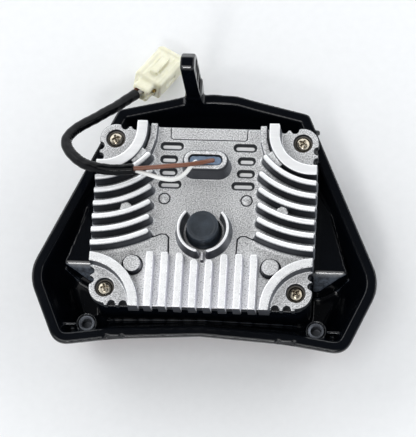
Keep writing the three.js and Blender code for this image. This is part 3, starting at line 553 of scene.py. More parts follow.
# ---- tray housing
def housing():
    body = Solid((-82.5, -62.5, 8.5), (82.5, 72.5, 76.2), GRID.tray)
    fx, fy = body.flat
    rim = polygon(fx, fy, rim_outline())[:, :, None]
    z = body.z
    skirt = smooth_max(rim + lean(z, SKIRT), body.between(FLOOR_Z - WALL, LEDGE_Z + 1), 0.8)
    wall = smooth_max(rim + lean(z, UPPER_WALL), body.between(LEDGE_Z, RIM_Z), 0.8)
    outer = smooth_min(skirt, wall, 0.3)
    hollow = smooth_max(rim + lean(z, HOLLOW), FLOOR_Z - z, 2.0)
    seat = slab(fx, fy, *SEAT)
    kept = body.rise(seat, 0, SEAT_Z)
    for side in (1, -1):
        kept = smooth_min(kept, shoulder(body, side), 0.8)
        boss = disc(fx, fy, side * BOSS.x, BOSS.y, BOSS.radius)
        kept = smooth_min(kept, body.rise(boss, 0, BOSS.top, 0.012, 0.7), 1.6)
        for out, dy, top, width, depth in BOSS_WEBS:
            web = slab(fx, fy, side * (BOSS.x + out), BOSS.y + dy, width, depth, 0.3)
            kept = smooth_min(kept, body.rise(web, 0, top, 0.01), 0.9)
    body.value = maximum(outer, smooth_min(-hollow, kept, 1.6))
    body.add(body.rise(seat, LEDGE_Z, SEAT_Z), 0.3)
    tab(body)
    chamber = slab(fx, fy, *CHAMBER)
    for x, y in SCREW_PLACES:
        chamber = maximum(chamber, -disc(fx, fy, x, y, SCREW_WALL))
    body.bore(chamber)
    for side in (1, -1):
        bore = disc(fx, fy, side * BOSS.x, BOSS.y, BOSS.bore)
        body.cut(maximum(bore[:, :, None], BOSS.top - BOSS.depth - z), 0.5)
        for x, y, width, depth in CLIP_NOTCHES:
            notch = slab(fx, fy, side * x, y, width, depth, 0.3)
            body.cut(body.rise(notch, RIM_Z - 1.6, RIM_Z + 3), 0.4)
    for x, y in RIM_NUBS:
        body.add(body.rise(disc(fx, fy, x, y, NUB_RADIUS), RIM_Z - 3, RIM_Z - 0.4), 0.5)
    return body.mesh("tray_housing")


def shoulder(body, side):
    """A ledge beside the heat sink: its top falls from a crest to the tab edge, its nose to the floor."""
    (x1, y1, _), (x2, y2, _) = RIM_CORNERS[3:5]
    crest_y = SHOULDER.right_crest_y if side > 0 else SHOULDER.left_crest_y
    crest_z, fall = SHOULDER.crest_z, SHOULDER.nose_fall
    nose_y = crest_y - SHOULDER.nose_length
    edge_x = x1 + (x2 - x1) * (crest_y - y1) / (y2 - y1) - SHOULDER.inset
    inner = SEAT_SIDE - 3
    outline = [(inner, nose_y), (SHOULDER.nose_x, nose_y), (edge_x, crest_y),
               (SEAT_SIDE + 1, 30), (inner, SHOULDER.far_y)]
    fx, fy = body.flat
    plan = polygon(fx, fy, on_side(outline, side))[:, :, None]
    slope = (SHOULDER.far_z - crest_z) / (SHOULDER.far_y - crest_y)
    top = body.z - crest_z - slope * (body.y - crest_y)
    nose = (body.z - crest_z - (body.y - crest_y) * fall) / hypot(1, fall)
    # The crest is planed off at 30 degrees.
    strip = 0.866 * (body.z - crest_z) - 0.5 * (body.y - crest_y) + SHOULDER.strip
    return smooth_max(plan, smooth_max(smooth_max(top, nose, 0.4), strip, 0.5), 0.35)


def tab(body):
    """The upright mounting tab: a flat plate with an eye, a recessed face and a wider root."""
    y, z = body.y[0], body.z[0]
    front, back, top = TAB.front, TAB.back, TAB.top
    plate = polygon(y, z, [
        (front + 0.5, 18), (back - 6.5, 18), (back - 1.2, RIM_Z - 4), (back + 0.4, RIM_Z + 8),
        (back + 0.4, EYE_Z - 2), (back - 0.8, top - 4.5), (back - 4.6, top),
        (front + 1.4, top), (front, top - 0.8),
    ])[None]
    root = polygon(y, z, [
        (front + 0.2, 19), (back - 6, 19), (back - 1.8, RIM_Z - 3), (back - 0.6, RIM_Z + 6),
        (front - 0.4, RIM_Z + 6),
    ])[None]
    across = np.abs(body.x - TAB.x)
    shape = smooth_min(
        smooth_max(plate, across - TAB.thick / 2, 0.8),
        smooth_max(root, across - TAB.root / 2, 0.8), 1.6,
    )
    face = TAB.x + TAB.thick / 2
    for low, high in TAB.pockets:
        pocket = slab(y, z, EYE_Y, (low + high) / 2, 6.4, high - low, 0.9)[None]
        shape = smooth_max(shape, -maximum(pocket, face - TAB.pocket_depth - body.x), 0.6)
    eye = np.hypot(y - EYE_Y, z - EYE_Z)[None]
    collar = smooth_max(eye - EYE_RADIUS - 1.3, across - TAB.thick / 2 - 0.25, 0.4)
    shape = smooth_min(shape, collar, 0.3)
    shape = smooth_max(shape, -(eye - EYE_RADIUS + 0 * body.x), 0.5)
    body.add(shape, 1.6)


# ---- heat sink
PLATE_TOP, PLATE_THICK, FIN_HEIGHT, LOW_FIN_HEIGHT = 45.0, 4.0, 7.8, 6.0
FIN_TOP, LOW_FIN_TOP = PLATE_TOP + FIN_HEIGHT, PLATE_TOP + LOW_FIN_HEIGHT
LOBE = 7.5  # radius of the round corners, which lie round the screws
SINK_SIDE, SINK_TOP, SINK_BOTTOM = 51.4, 43.2, -45.3
ARC_X, ARC_BOTTOM_Y, ARC_WIDTH = 53.0, -46.5, 5.0
TOP_ARC_CENTRE, TOP_ARC_RADIUS, LOW_ARC_RADIUS, LOW_RIB_END = (49.1, 39.0), 18.1, 23.0, -46.9
FIN = Sizes(count=6, pitch=6.4, first_y=14.6, radius=36.0, step=5.0, inner_x=24.8,
            width=3.2, draft=0.05, rounding=2.1, fillet=2.2, first_tighter=3, first_shorter=1.6)
COMB = Sizes(count=8, pitch=6.84, shift=0.45, width=3.4, top=-20.5, middle_top=-23.4)
WIRE_BOSS = Sizes(x=-0.2, y=23.4, length=21.0, width=9.8, height=10.5, round=4.85,
                  slot=15.6)
PLUG = Sizes(x=0.3, y=-8.8, radius=7.3, height=10.5)
GUARD = Sizes(inner=10.6, outer=12.2, height=7.5, start=-1.32, end=0.72)
SLOTS = [(17.2, 33.6, 10.6), (18.2, 27, 8.0), (18.1, 20.7, 8.0), (17.1, 14.6, 10.4)]
SLOT_ROUND, POCKET_DEPTH = 2.95, 1.5
SCREW_HOLE, COUNTERBORE, COUNTERBORE_DEPTH = 2.2, 4.4, 1.9
PAD, STUD, RING = (31.9, -25.6), (36.1, 0.3), (19.2, 7.5)
PAD_RADIUS, PAD_HEIGHT, STUD_RADIUS, STUD_HEIGHT, RING_RADIUS = 4.0, 3.4, 2.9, 5.4, 2.6
PANEL = (0, 41.6, 36, 8.8, 1.2)
COLLAR_RADIUS, COLLAR_HEIGHT, COLLAR_HOLE = 4.5, 6.5, 2.2
SCALLOP_RADIUS = 1.8
SCALLOPS = [(SINK_SIDE - 0.3, 27.6), (SINK_SIDE - 0.3, 33.0), (34.9, SINK_TOP + 0.2), (40.0, SINK_TOP + 0.2),
            (SINK_SIDE - 0.5, -29.0), (SINK_SIDE - 0.5, -33.3), (40.3, SINK_BOTTOM + 0.8),
            (34.9, SINK_BOTTOM + 0.8)]


def fin_line(k, side):
    edge_y = FIN.first_y - FIN.pitch * (k - 1)
    radius = FIN.radius + FIN.step * (k - 1) - (FIN.first_tighter if k == 1 else 0)
    inner = FIN.inner_x + (FIN.first_shorter if k == 1 else 0)
    reach = asin((ARC_X - inner - 1.1) / radius)
    start = asin((ARC_X - SINK_SIDE) / radius)
    return on_side(arc(ARC_X, edge_y + radius, radius, -pi / 2 - start, -pi / 2 - reach), side)


def heat_sink():
    body = Solid((-53, -47.5, 40.4), (53, 45.7, 56.2), GRID.sink)
    fx, fy = body.flat
    low, high = SINK_BOTTOM, SINK_TOP
    plan = polygon(fx, fy, [
        (SINK_SIDE, -SCREW_Y), (SINK_SIDE, SCREW_Y), (SCREW_X, SCREW_Y), (SCREW_X, high),
        (-SCREW_X, high), (-SCREW_X, SCREW_Y), (-SINK_SIDE, SCREW_Y), (-SINK_SIDE, -SCREW_Y),
        (-SCREW_X, -SCREW_Y), (-SCREW_X, low), (SCREW_X, low), (SCREW_X, -SCREW_Y),
    ])
    bites = minimum.reduce([disc(np.abs(fx), fy, x, y, SCALLOP_RADIUS) for x, y in SCALLOPS])
    inside_plate = maximum(plan, -bites)[:, :, None]
    for x, y in SCREW_PLACES:
        plan = minimum(plan, disc(fx, fy, x, y, LOBE))
    plan = smooth_max(plan, -bites, 0.2)
    body.value = body.rise(plan, PLATE_TOP - PLATE_THICK, PLATE_TOP, 0.0, 0.5)

    def raised(outline, height, draft, edge=0.45, fillet=0.5):
        shape = body.rise(outline, PLATE_TOP - 1, PLATE_TOP + height, draft, edge)
        body.add(maximum(shape, inside_plate - 0.1), fillet)

    def low_rib(outline):
        shape = body.rise(outline, PLATE_TOP - 2.5, PLATE_TOP + LOW_FIN_HEIGHT, 0.03, 0.45)
        side_wall = np.abs(body.x) - SINK_SIDE
        body.add(maximum(maximum(shape, side_wall), LOW_RIB_END - body.y), 0.4)

    def groove(distance, depth):
        body.cut(body.rise(distance, PLATE_TOP - depth, PLATE_TOP + 1, -0.15, 0.2), 0.15)

    for side in (1, -1):
        raised(polygon(fx, fy, on_side(STEP_LINE, side)), 0.45, 0.0, 0.2, 0.1)
        for k in range(1, FIN.count + 1):
            fin = line(fx, fy, fin_line(k, side)) - FIN.width / 2
            raised(fin, FIN_HEIGHT, FIN.draft, FIN.rounding, FIN.fillet)
        bend_x, bend_y = TOP_ARC_CENTRE
        upper = arc(bend_x, bend_y, TOP_ARC_RADIUS, pi, pi * 1.5)
        upper = on_side([(upper[0][0], bend_y + 8)] + upper + [(bend_x + 8, upper[-1][1])], side)
        raised(line(fx, fy, upper) - ARC_WIDTH / 2, FIN_HEIGHT, 0.06, 0.5)
        lower = arc(ARC_X, ARC_BOTTOM_Y, LOW_ARC_RADIUS, pi, pi / 2 - 0.05)
        lower = on_side([(lower[0][0], LOW_RIB_END - 3)] + lower, side)
        low_rib(line(fx, fy, lower) - ARC_WIDTH / 2 + 0.25)
        raised(line(fx, fy, on_side(LEDGE_LINE, side)) - 1.5, 4.2, 0.05, 0.5)
        raised(polygon(fx, fy, on_side(WEB, side)) - 0.3, FIN_HEIGHT - 1.5, 0.03, 0.5)
        pad, stud, ring = on_side([PAD, STUD, RING], side)
        raised(disc(fx, fy, *pad, PAD_RADIUS), PAD_HEIGHT, 0.05, 0.5, 0.3)
        groove(np.abs(disc(fx, fy, *pad, 4.6)) - 0.4, 0.5)
        raised(disc(fx, fy, *stud, STUD_RADIUS), STUD_HEIGHT, 0.05, 0.5, 0.4)
        groove(np.abs(disc(fx, fy, *ring, RING_RADIUS)) - 0.36, 0.55)
        raised(disc(fx, fy, *ring, 1.6), 0.3, 0.0, 0.2, 0.2)
        raised(guard_line(fx, fy, side), GUARD.height, 0.13, 0.9, 0.5)
    for i in range(COMB.count):
        x = COMB.shift + (i - (COMB.count - 1) / 2) * COMB.pitch
        top = COMB.middle_top if i in (3, 4) else COMB.top
        bottom = LOW_RIB_END - 3
        nose = 1.6 if i in (2, 3, 4, 5) else 0.5
        low_rib(slab(fx, fy, x, (top + bottom) / 2, COMB.width, top - bottom, nose))
    at_boss, at_plug = (WIRE_BOSS.x, WIRE_BOSS.y), (PLUG.x, PLUG.y)
    boss = slab(fx, fy, *at_boss, WIRE_BOSS.length, WIRE_BOSS.width, WIRE_BOSS.round)
    raised(boss, WIRE_BOSS.height, 0.095, 1.9, 0.6)
    raised(disc(fx, fy, *at_plug, COLLAR_RADIUS), COLLAR_HEIGHT, 0.0)
    raised(slab(fx, fy, PLUG.x, PLUG.y - 12.2, 1.3, 4.4, 0.4), 3.2, 0.05, 0.3)
    for side in (1, -1):
        groove(line(fx, fy, on_side(STEP_LINE[:STEP_EDGE], side)) - 0.4, 0.5)
    groove(maximum(np.abs(slab(fx, fy, *PANEL)) - 0.3, fy - SINK_TOP + 0.4), 0.5)
    for x, y, length in SLOTS:
        for side in (1, -1):
            pocket = slab(fx, fy, side * x, y, length + 2.3, 6.0, SLOT_ROUND)
            body.cut(body.rise(pocket, PLATE_TOP - POCKET_DEPTH, PLATE_TOP + 1, -0.85, 0.2), 0.2)
    for x, y in SCREW_PLACES:
        counterbore = disc(fx, fy, x, y, COUNTERBORE)
        body.cut(body.rise(counterbore, PLATE_TOP - COUNTERBORE_DEPTH, PLATE_TOP + 3, 0.0, 0.3), 0.35)
        body.bore(disc(fx, fy, x, y, SCREW_HOLE))
    body.bore(slab(fx, fy, *at_boss, WIRE_BOSS.slot, 4.9, 2.4), 0.7)
    body.bore(disc(fx, fy, *at_plug, COLLAR_HOLE))
    return body.mesh("cast_heat_sink")


def guard_line(x, y, side):
    """One half of the plug's guard, which is open at the far end and narrowly at the near one."""
    start, end = (a if side > 0 else pi - a for a in (GUARD.start, GUARD.end))
    inner, outer = GUARD.inner, GUARD.outer
    curve = arc(PLUG.x, PLUG.y, (inner + outer) / 2, start, end)
    return line(x, y, curve) - (outer - inner) / 2


STEP_LINE = [(25.5, -12.6), (19.5, -10.0), (17.4, -10.1), (15.9, -11.6), (15.6, -20.5), (20.0, -44.5),
             (50.8, -44.5), (50.8, -19.5), (40.0, -19.0), (31.0, -16.2)]
STEP_EDGE = 5  # how many of those points lie on the visible step
LEDGE_LINE = [(28.6, 28.4), (27.3, 31.6), (26.1, 36), (25.6, 43.4)]
WEB = [(30.9, 30.3), (29.4, 29.2), (28.0, 27.4), (33.2, 21.8), (35.2, 24.0)]


# ---- rubber plug
ON_AXIS = 1e-6


def turned(name, profile, centre, sides=64):
    """A solid of revolution from (radius, height) points that start and end on the axis."""
    cx, cy = centre
    rings = [p for p in profile if p[0] > ON_AXIS]
    turns = [2 * pi * i / sides for i in range(sides)]
    points = [(cx + r * cos(t), cy + r * sin(t), z) for r, z in rings for t in turns]
    quads = []
    for low in range(0, (len(rings) - 1) * sides, sides):
        high = low + sides
        quads += [(low + i, low + (i + 1) % sides, high + (i + 1) % sides, high + i) for i in range(sides)]
    ob = mesh_object(name, points, quads)
    build = bmesh.new()
    build.from_mesh(ob.data)
    build.verts.ensure_lookup_table()
    ends = [(profile[0], build.verts[:sides]), (profile[-1], build.verts[-sides:])]
    for (radius, z), loop in ends:
        if radius <= ON_AXIS:
            hub = build.verts.new(place(cx, cy, z))
            for i in range(sides):
                build.faces.new((hub, loop[i], loop[(i + 1) % sides]))
    bmesh.ops.recalc_face_normals(build, faces=build.faces)
    for face in build.faces:
        face.smooth = True
    build.to_mesh(ob.data)
    build.free()
    return ob


def plug():
    bottom, top, radius = PLATE_TOP + 0.3, PLATE_TOP + PLUG.height, PLUG.radius
    bore, bore_top, flange = 4.9, bottom + 7.5, radius + 1.1
    profile = rounded([
        (0, bore_top, 0), (bore, bore_top, 0.4), (bore, bottom, 0.3), (flange, bottom, 0.3),
        (flange, bottom + 1.5, 0.5), (radius + 0.1, bottom + 2.4, 0.6), (radius, top - 0.1, 0.7),
        (radius - 1.3, top, 0.3), (radius - 1.7, top - 0.25, 0.2), (0, top - 0.3, 0),
    ], 5)
    return turned("rubber_plug", profile, (PLUG.x, PLUG.y))


# ---- screws, inserts and potting
def upright_grid(node, step, margin=0.5):
    """A grid round an upright CAD node, its lowest and highest level, its radius, and x and y from its axis."""
    low, high = plan_box(node)
    cx, cy = (low[:2] + high[:2]) / 2
    radius = (high[0] - low[0]) / 2
    body = Solid((cx - radius - margin, cy - radius - margin, low[2] - margin),
                 (cx + radius + margin, cy + radius + margin, high[2] + margin), step)
    return body, low[2], high[2], radius, body.x - cx, body.y - cy


def ridges(x, y, z, pitch):
    """A thread's wave, from -1 to 1."""
    return np.cos(2 * pi * (z / pitch - np.arctan2(y, x) / (2 * pi)))


def recessed_screw(name, node, cross_angle, shank, dome, headed_down=False):
    """A pan-head screw with a cross recess and a threaded shank."""
    body, bottom, top, radius, x, y = upright_grid(node, GRID.screw)
    rise = (bottom + top - body.z) if headed_down else body.z
    away = np.hypot(x, y)
    edge_drop = 0.75 * dome
    curve = (radius ** 2 + edge_drop ** 2) / (2 * edge_drop)
    cap = np.sqrt(away ** 2 + (rise - top + curve) ** 2) - curve
    head = smooth_max(smooth_max(cap, away - radius, 0.3), top - dome - rise, 0.2)
    depth, pitch = 0.14, 1.1
    thread = shank - depth + depth * ridges(x, y, rise, pitch)
    tip = (rise - bottom) * 0.9 + 0.35
    length = np.abs(rise - (bottom + top - 1) / 2) - (top - 1 - bottom) / 2
    body.value = minimum(head, maximum(away - minimum(thread, tip), length)).astype(np.float32)
    u = x * cos(cross_angle) + y * sin(cross_angle)
    v = y * cos(cross_angle) - x * sin(cross_angle)
    arm = 0.14 * radius + 0.12 * (rise - top)
    reach = 0.56 * radius + 0.3 * (rise - top)
    cross = minimum(maximum(np.abs(u) - arm, np.abs(v) - reach),
                       maximum(np.abs(v) - arm, np.abs(u) - reach))
    body.cut(maximum(cross, top - edge_drop - rise), 0.12)
    return body.mesh(name)


def threaded_insert(name, node):
    """A knurled sleeve with a thread inside and a ring turned in its end."""
    body, bottom, top, radius, x, y = upright_grid(node, GRID.insert)
    away = np.hypot(x, y)
    knurl = 0.1 * np.cos(24 * np.arctan2(y, x)) * (body.z < top - 1.4)
    ends = np.abs(body.z - (bottom + top) / 2) - (top - bottom) / 2
    body.value = smooth_max(away - radius + 0.1 - knurl + 0 * body.z, ends, 0.7)
    thread = 2.5 + 0.15 * ridges(x, y, body.z, 1.0)
    lead = maximum(body.z - top + 0.7, 0)
    body.cut(maximum(away - thread - lead, bottom + 1 - body.z), 0.2)
    ring = np.abs(away - 3.25 + 0 * body.z) - 0.18
    body.cut(maximum(ring, top - 0.25 - body.z), 0.2)
    return body.mesh(name)


def potting_fill():
    """The set compound in the wire slot: a wavy top that creeps up the wall."""
    low, high = plan_box("wire_potting")
    body = Solid(low - 0.6, high + 0.6, GRID.potting)
    fx, fy = body.flat
    (cx, cy), (width, depth) = ((low + high) / 2)[:2], (high - low)[:2]
    plan = slab(fx, fy, cx, cy, width, depth, 2.1)
    wave = 0.16 * np.sin(fx * 1.3 + 0.7) * np.cos(fy * 1.1) + 0.1 * np.sin(fx * 2.7 + fy * 1.9)
    top = high[2] - 0.5 + wave + 0.35 * np.clip(1 + plan / 1.2, 0, 1)
    body.value = smooth_max(plan[:, :, None] + 0 * body.z,
                            maximum(body.z - top[:, :, None], low[2] - body.z), 0.3).astype(np.float32)
    return body.mesh("potting_fill")


# ---- lens and reflector
LENS_OUTSIDE, LENS_EDGE_OUTSIDE = [(0, 23), (2.2, 15.5), (7.5, 10)], 6.4
LENS_INSIDE, LENS_EDGE_INSIDE = [(2.6, 24), (4.6, 17), (9.5, 12.3)], 8.9
LENS_FACE, PILLOW_PITCH, PILLOW_DEPTH = 2.4, 7.2, 0.55
CUP_BLOCK_Z, CUP_HOLE, CUP_FLARE = 21.0, 3.0, 5.3
FLARE_LOW, FLARE_HIGH, FLARE_ROUND = (88, 73), (73, 60), 4
FLANGE_OUTSIDE, FLANGE_INSIDE, FLANGE_INSET = (91, 76), (85, 70), 15.0
LED_COUNT = 12


def lens_shell():
    """The red lens, with pillow optics moulded into the inside of its face."""
    low, high = plan_box("lens")
    body = Solid(low - 1.2, high + 1.2, GRID.lens)
    fx, fy = body.flat
    rim = polygon(fx, fy, rim_outline())[:, :, None]
    z = body.z
    outside = rim + lean(z, LENS_OUTSIDE + [(high[2], LENS_EDGE_OUTSIDE)])
    outer = smooth_max(outside, body.between(0, high[2]), 0.8)
    across, along = (np.abs(np.sin(f * pi / PILLOW_PITCH)) for f in (fx, fy))
    pillow = PILLOW_DEPTH * across * along
    inside = rim + lean(z, LENS_INSIDE + [(high[2], LENS_EDGE_INSIDE)])
    inner = maximum(inside, LENS_FACE + pillow[:, :, None] - z)
    body.value = smooth_max(outer, -inner, 0.4).astype(np.float32)
    return body.mesh("lens_shell")


def mirror_cups():
    """A block of round mirror cups with a flare round it that ends in a flange."""
    low, high = plan_box("reflector")
    body = Solid(low - 1.2, high + 1.2, GRID.cups)
    fx, fy = body.flat
    z = body.z
    rim = polygon(fx, fy, rim_outline())[:, :, None]
    flange_top, cell_z = low[2] + 1.6, CUP_BLOCK_Z

    def frame_at(grow_low, grow_high, bottom, top):
        """A rectangle with rounded corners that narrows on its way up."""
        share = np.clip((z - bottom) / (top - bottom), 0, 1)
        width, depth = (at_low + grow_low + (at_high + grow_high - at_low - grow_low) * share
                        for at_low, at_high in zip(FLARE_LOW, FLARE_HIGH))
        return slab(body.x, body.y, 0, 0, width, depth, FLARE_ROUND)

    ends = flange_top - 1, cell_z + 1.2
    flare = maximum(frame_at(0, 2, *ends), body.between(*ends))
    hollow = frame_at(-1.4, -1.9, flange_top - 3, cell_z)
    ring, hole = (slab(fx, fy, 0, 0, *size, FLARE_ROUND)[:, :, None] for size in (FLANGE_OUTSIDE, FLANGE_INSIDE))
    flange = maximum(smooth_max(ring, body.between(low[2], flange_top), 0.4), -(hole + 0 * z))
    shell = minimum(maximum(flare, -maximum(hollow, z - cell_z)), flange)
    shell = maximum(shell, rim + FLANGE_INSET)
    chamfer = maximum(slab(fx, fy, 0, 0, *FLARE_HIGH, 1), (np.abs(fx) + np.abs(fy) - 58.5) * HALF_ROOT)
    block = smooth_max(chamfer[:, :, None], body.between(cell_z, high[2]), 0.6)
    body.value = smooth_min(shell, block, 0.6)
    for i in range(1, LED_COUNT + 1):
        led = middle("led_%d" % i)
        x, y = (led.x - ORIGIN.x) / MM, (led.y - ORIGIN.y) / MM
        rise = np.clip((high[2] + 0.5 - z) / (high[2] + 1 - cell_z), 0, 1)
        cup = CUP_HOLE + CUP_FLARE * np.sqrt(rise) * (0.35 + 0.65 * rise)
        body.cut((np.hypot(fx - x, fy - y)[:, :, None] - cup) * 0.85, 0.4)
    body.value = body.value.astype(np.float32)
    return body.mesh("mirror_cups")


# ---- harness
WIRE_START = PLATE_TOP + WIRE_BOSS.height - 0.9 + 0.6  # where the wires leave the potting
WIRE_RADIUS, SLEEVE_RADIUS, SLEEVE_WALL = 1.03, 2.6, 0.35
LANE = 1.19  # how far each wire lies from the sleeve's middle
WIRE_SPACING, SLEEVE_SPACING = 2.5, 0.45
SLEEVE_SIDES, CREASE_DEPTH, FULL_CREASE_BEND = 28, 0.42, 0.06
BROWN = [(3.4, 23.2, WIRE_START), (3.1, 22.9, WIRE_START + 1.2), (-1.5, 21.0, 57.9), (-9, 19.4, 58.5),
         (-18, 18.4, 58.6), (-26, 17.5, 58.4), (-31.4, 17.1, 58.25)]
WHITE = [(-4.4, 22.3, WIRE_START), (-4.8, 22, WIRE_START + 0.9), (-6.4, 19.2, 57.6), (-9.0, 15.6, 56.9),
         (-13.6, 12.7, 56.6), (-20.0, 13.2, 56.4), (-26, 15.0, 56.4), (-31.4, 16.1, 56.5)]
BLACK = [(-0.4, 22.4, WIRE_START), (-0.8, 22.2, WIRE_START + 0.6), (-3.2, 21.6, 56.2), (-9, 20.0, 56.6),
         (-18, 19.0, 56.65), (-26, 18.2, 56.5), (-31.4, 17.9, 56.5)]
SLEEVE = [(-32.9, 17.05, 57.1), (-38, 16.6, 57.05), (-44, 16.6, 57), (-50.5, 17.4, 56.6),
          (-57.5, 20.6, 54.6), (-63.8, 26.4, 51.4), (-66.9, 33.4, 47.6), (-65.2, 40.0, 43.4),
          (-59.8, 46.6, 38.4), (-53.0, 54.0, 32.1), (-45.9, 62.2, 25.3), (-39.7, 69.9, 19.7)]
CONNECTOR_START = Vector((-38.4, 69.7, 19.35))
CONNECTOR_AXIS = Vector((15.5, 28.3, -14.8)).normalized()


def through(points, steps=10):
    """A smooth line through points, evenly stepped."""
    p = [np.array(q, float) for q in points]
    p = [2 * p[0] - p[1]] + p + [2 * p[-1] - p[-2]]
    made = []
    for a, b, c, d in zip(p, p[1:], p[2:], p[3:]):
        for t in np.linspace(0, 1, steps, endpoint=False):
            made.append(0.5 * (2 * b + (c - a) * t + (2 * a - 5 * b + 4 * c - d) * t * t
                               + (3 * b - a - 3 * c + d) * t ** 3))
    made.append(p[-2])
    return np.array(made)


def evenly(points, spacing):
    lengths = np.concatenate([[0], np.cumsum(norm(np.diff(points, axis=0), axis=1))])
    marks = np.linspace(0, lengths[-1], int(round(lengths[-1] / spacing)) + 1)
    return np.stack([np.interp(marks, lengths, points[:, i]) for i in range(3)], 1), lengths[-1]


def frames_along(points):
    """Unit directions along a line, with a steady pair of directions across it."""
    tangents = np.gradient(points, axis=0)
    tangents /= norm(tangents, axis=1)[:, None]
    side = np.cross(tangents[0], (0, 0, 1))
    side /= norm(side)
    sides, ups = [], []
    for t in tangents:
        side = side - t * side.dot(t)
        side /= norm(side)
        sides.append(side)
        ups.append(np.cross(side, t))
    return tangents, np.array(sides), np.array(ups)


def wire(name, route, lane):
    """A wire that runs on through the sleeve, at a lane's angle round its middle, to the connector."""
    sleeve = through(SLEEVE)
    _, sides, ups = frames_along(sleeve)
    inside = sleeve + sides * (LANE * cos(lane)) + ups * (LANE * sin(lane))
    into = [inside[-1] + np.array(CONNECTOR_AXIS) * d for d in (3.0, 6.0)]
    path = np.concatenate([through(route[:-1] + [inside[6]])[:-1], inside[7:-2], into])
    path, length = evenly(path, WIRE_SPACING)
    data = bpy.data.curves.new(name, "CURVE")
    data.dimensions = "3D"
    data.bevel_depth = WIRE_RADIUS * MM
    data.bevel_resolution = 5
    data.use_fill_caps = True
    data.resolution_u = 4
    spline = data.splines.new("NURBS")
    spline.points.add(len(path) - 1)
    for point, co in zip(spline.points, path):
        point.co = (*place(*co), 1)
    spline.order_u = 4
    spline.use_endpoint_u = True
    return linked(name, data), length, place(*path[0])


def sleeve_tube():
    """A thin soft tube, creased on the inside of its bends."""
    path, length = evenly(through(SLEEVE), SLEEVE_SPACING)
    tangents, sides, ups = frames_along(path)
    bends = np.gradient(tangents, axis=0) / SLEEVE_SPACING
    run = np.linspace(0, length, len(path))
    points = []
    for radius in (SLEEVE_RADIUS, SLEEVE_RADIUS - SLEEVE_WALL):
        for centre, along, bend, side, up in zip(path, run, bends, sides, ups):
            amount = min(norm(bend) / FULL_CREASE_BEND, 1.0)
            for s in range(SLEEVE_SIDES):
                turn = 2 * pi * s / SLEEVE_SIDES
                out = side * cos(turn) + up * sin(turn)
                inner_side = max(float(out.dot(bend)) / (norm(bend) + 1e-9), 0)
                wave = 0.5 + 0.5 * sin(along * 2.9 + 0.6 * sin(turn * 2))
                crease = amount * inner_side ** 2 * wave
                slack = 0.07 * sin(along * 0.42 + turn) + 0.05 * sin(along * 1.1 - 2 * turn)
                points.append(centre + out * (radius + slack - CREASE_DEPTH * crease))
    n = len(path)

    def vertex(shell, i, s):
        return shell * n * SLEEVE_SIDES + i * SLEEVE_SIDES + s % SLEEVE_SIDES

    quads = []
    for s in range(SLEEVE_SIDES):
        t = s + 1
        for i in range(n - 1):
            j = i + 1
            quads.append((vertex(0, i, s), vertex(0, i, t), vertex(0, j, t), vertex(0, j, s)))
            quads.append((vertex(1, i, t), vertex(1, i, s), vertex(1, j, s), vertex(1, j, t)))
        last = n - 1
        quads.append((vertex(0, 0, t), vertex(0, 0, s), vertex(1, 0, s), vertex(1, 0, t)))
        quads.append((vertex(0, last, s), vertex(0, last, t), vertex(1, last, t), vertex(1, last, s)))
    ob = mesh_object("wire_sleeve_tube", points, quads)
    return ob, length, [tuple(place(*p)) for p in path[::6]] + [tuple(place(*path[-1]))]


def along_connector(points):
    """Turns points drawn along +X, with their top along +Z, to lie along the connector's axis."""
    across = Vector((0, 0, 1)).cross(CONNECTOR_AXIS).normalized()
    up = CONNECTOR_AXIS.cross(across)
    basis = np.array([CONNECTOR_AXIS, across, up])
    return points @ basis + np.array(CONNECTOR_START)


def connector_shell():
    """A three-way crimp connector: socket body, stepped neck, latch arm, ribs and wire holes."""
    body = Solid((-0.6, -8.6, -6.0), (32.6, 8.6, 8.0), GRID.connector)
    x, y, z = body.x, body.y, body.z
    end, half_width = 31.6, 7.5

    def block(x0, x1, half_y, half_z, radius, lift=0.0):
        """A box with rounded edges, from x0 to x1 and as wide and high on both sides of its middle."""
        qx = np.abs(x - (x0 + x1) / 2) - (x1 - x0) / 2 + radius
        qy = np.abs(y) - half_y + radius
        qz = np.abs(z - lift) - half_z + radius
        outside = np.sqrt(maximum(qx, 0) ** 2 + maximum(qy, 0) ** 2 + maximum(qz, 0) ** 2)
        return outside + minimum(maximum(maximum(qx, qy), qz), 0) - radius

    main = block(7.6, end, half_width, 4.9, 1.2)
    main = smooth_max(main, (x + np.abs(y) - 37.2) * HALF_ROOT, 0.6)
    main = smooth_max(main, (np.abs(y) - x - 0.4) * HALF_ROOT, 0.6)
    neck = block(0.6, 9.6, 4.4, 3.8, 1.5)
    body.value = smooth_min(main, neck, 1.8)
    latch_root, latch_arm = block(11.6, 14.4, 2.0, 1.1, 0.5, 5.5), block(12.0, 24.6, 1.9, 0.5, 0.45, 6.3)
    body.add(latch_root, 0.8)
    body.add(latch_arm, 0.3)
    body.add(block(23.0, 24.6, 1.9, 0.75, 0.35, 6.1), 0.3)
    collar = block(28.6, end, 7.6, 5.05, 0.8)
    body.add(smooth_max(collar, (x + np.abs(y) - 37.4) * HALF_ROOT, 0.5), 0.6)
    for side in (1, -1):
        for rib_y in (3.0, 5.4):
            body.add(maximum(np.abs(y - side * rib_y) - 0.45, block(9.0, 27.0, 8.2, 5.05, 0.4)), 0.5)
        window = maximum(np.abs(x - 18) - 4, 7.0 - side * y)
        body.cut(maximum(np.abs(z) - 1.2, window), 0.5)
    mouth, wire_mouth = block(17.5, 34, 5.3, 3.5, 0.8), block(-3, 3.1, 3.0, 2.7, 1.2)
    body.cut(mouth, 0.5)
    for lane in (-4, 0, 4):
        hole = np.hypot(y - lane, z) - 1.4
        body.cut(maximum(hole, np.abs(x - 10) - 11), 0.4)
    body.cut(wire_mouth, 0.5)
    body.value = body.value.astype(np.float32)
    return body.mesh("connector_shell", along_connector)


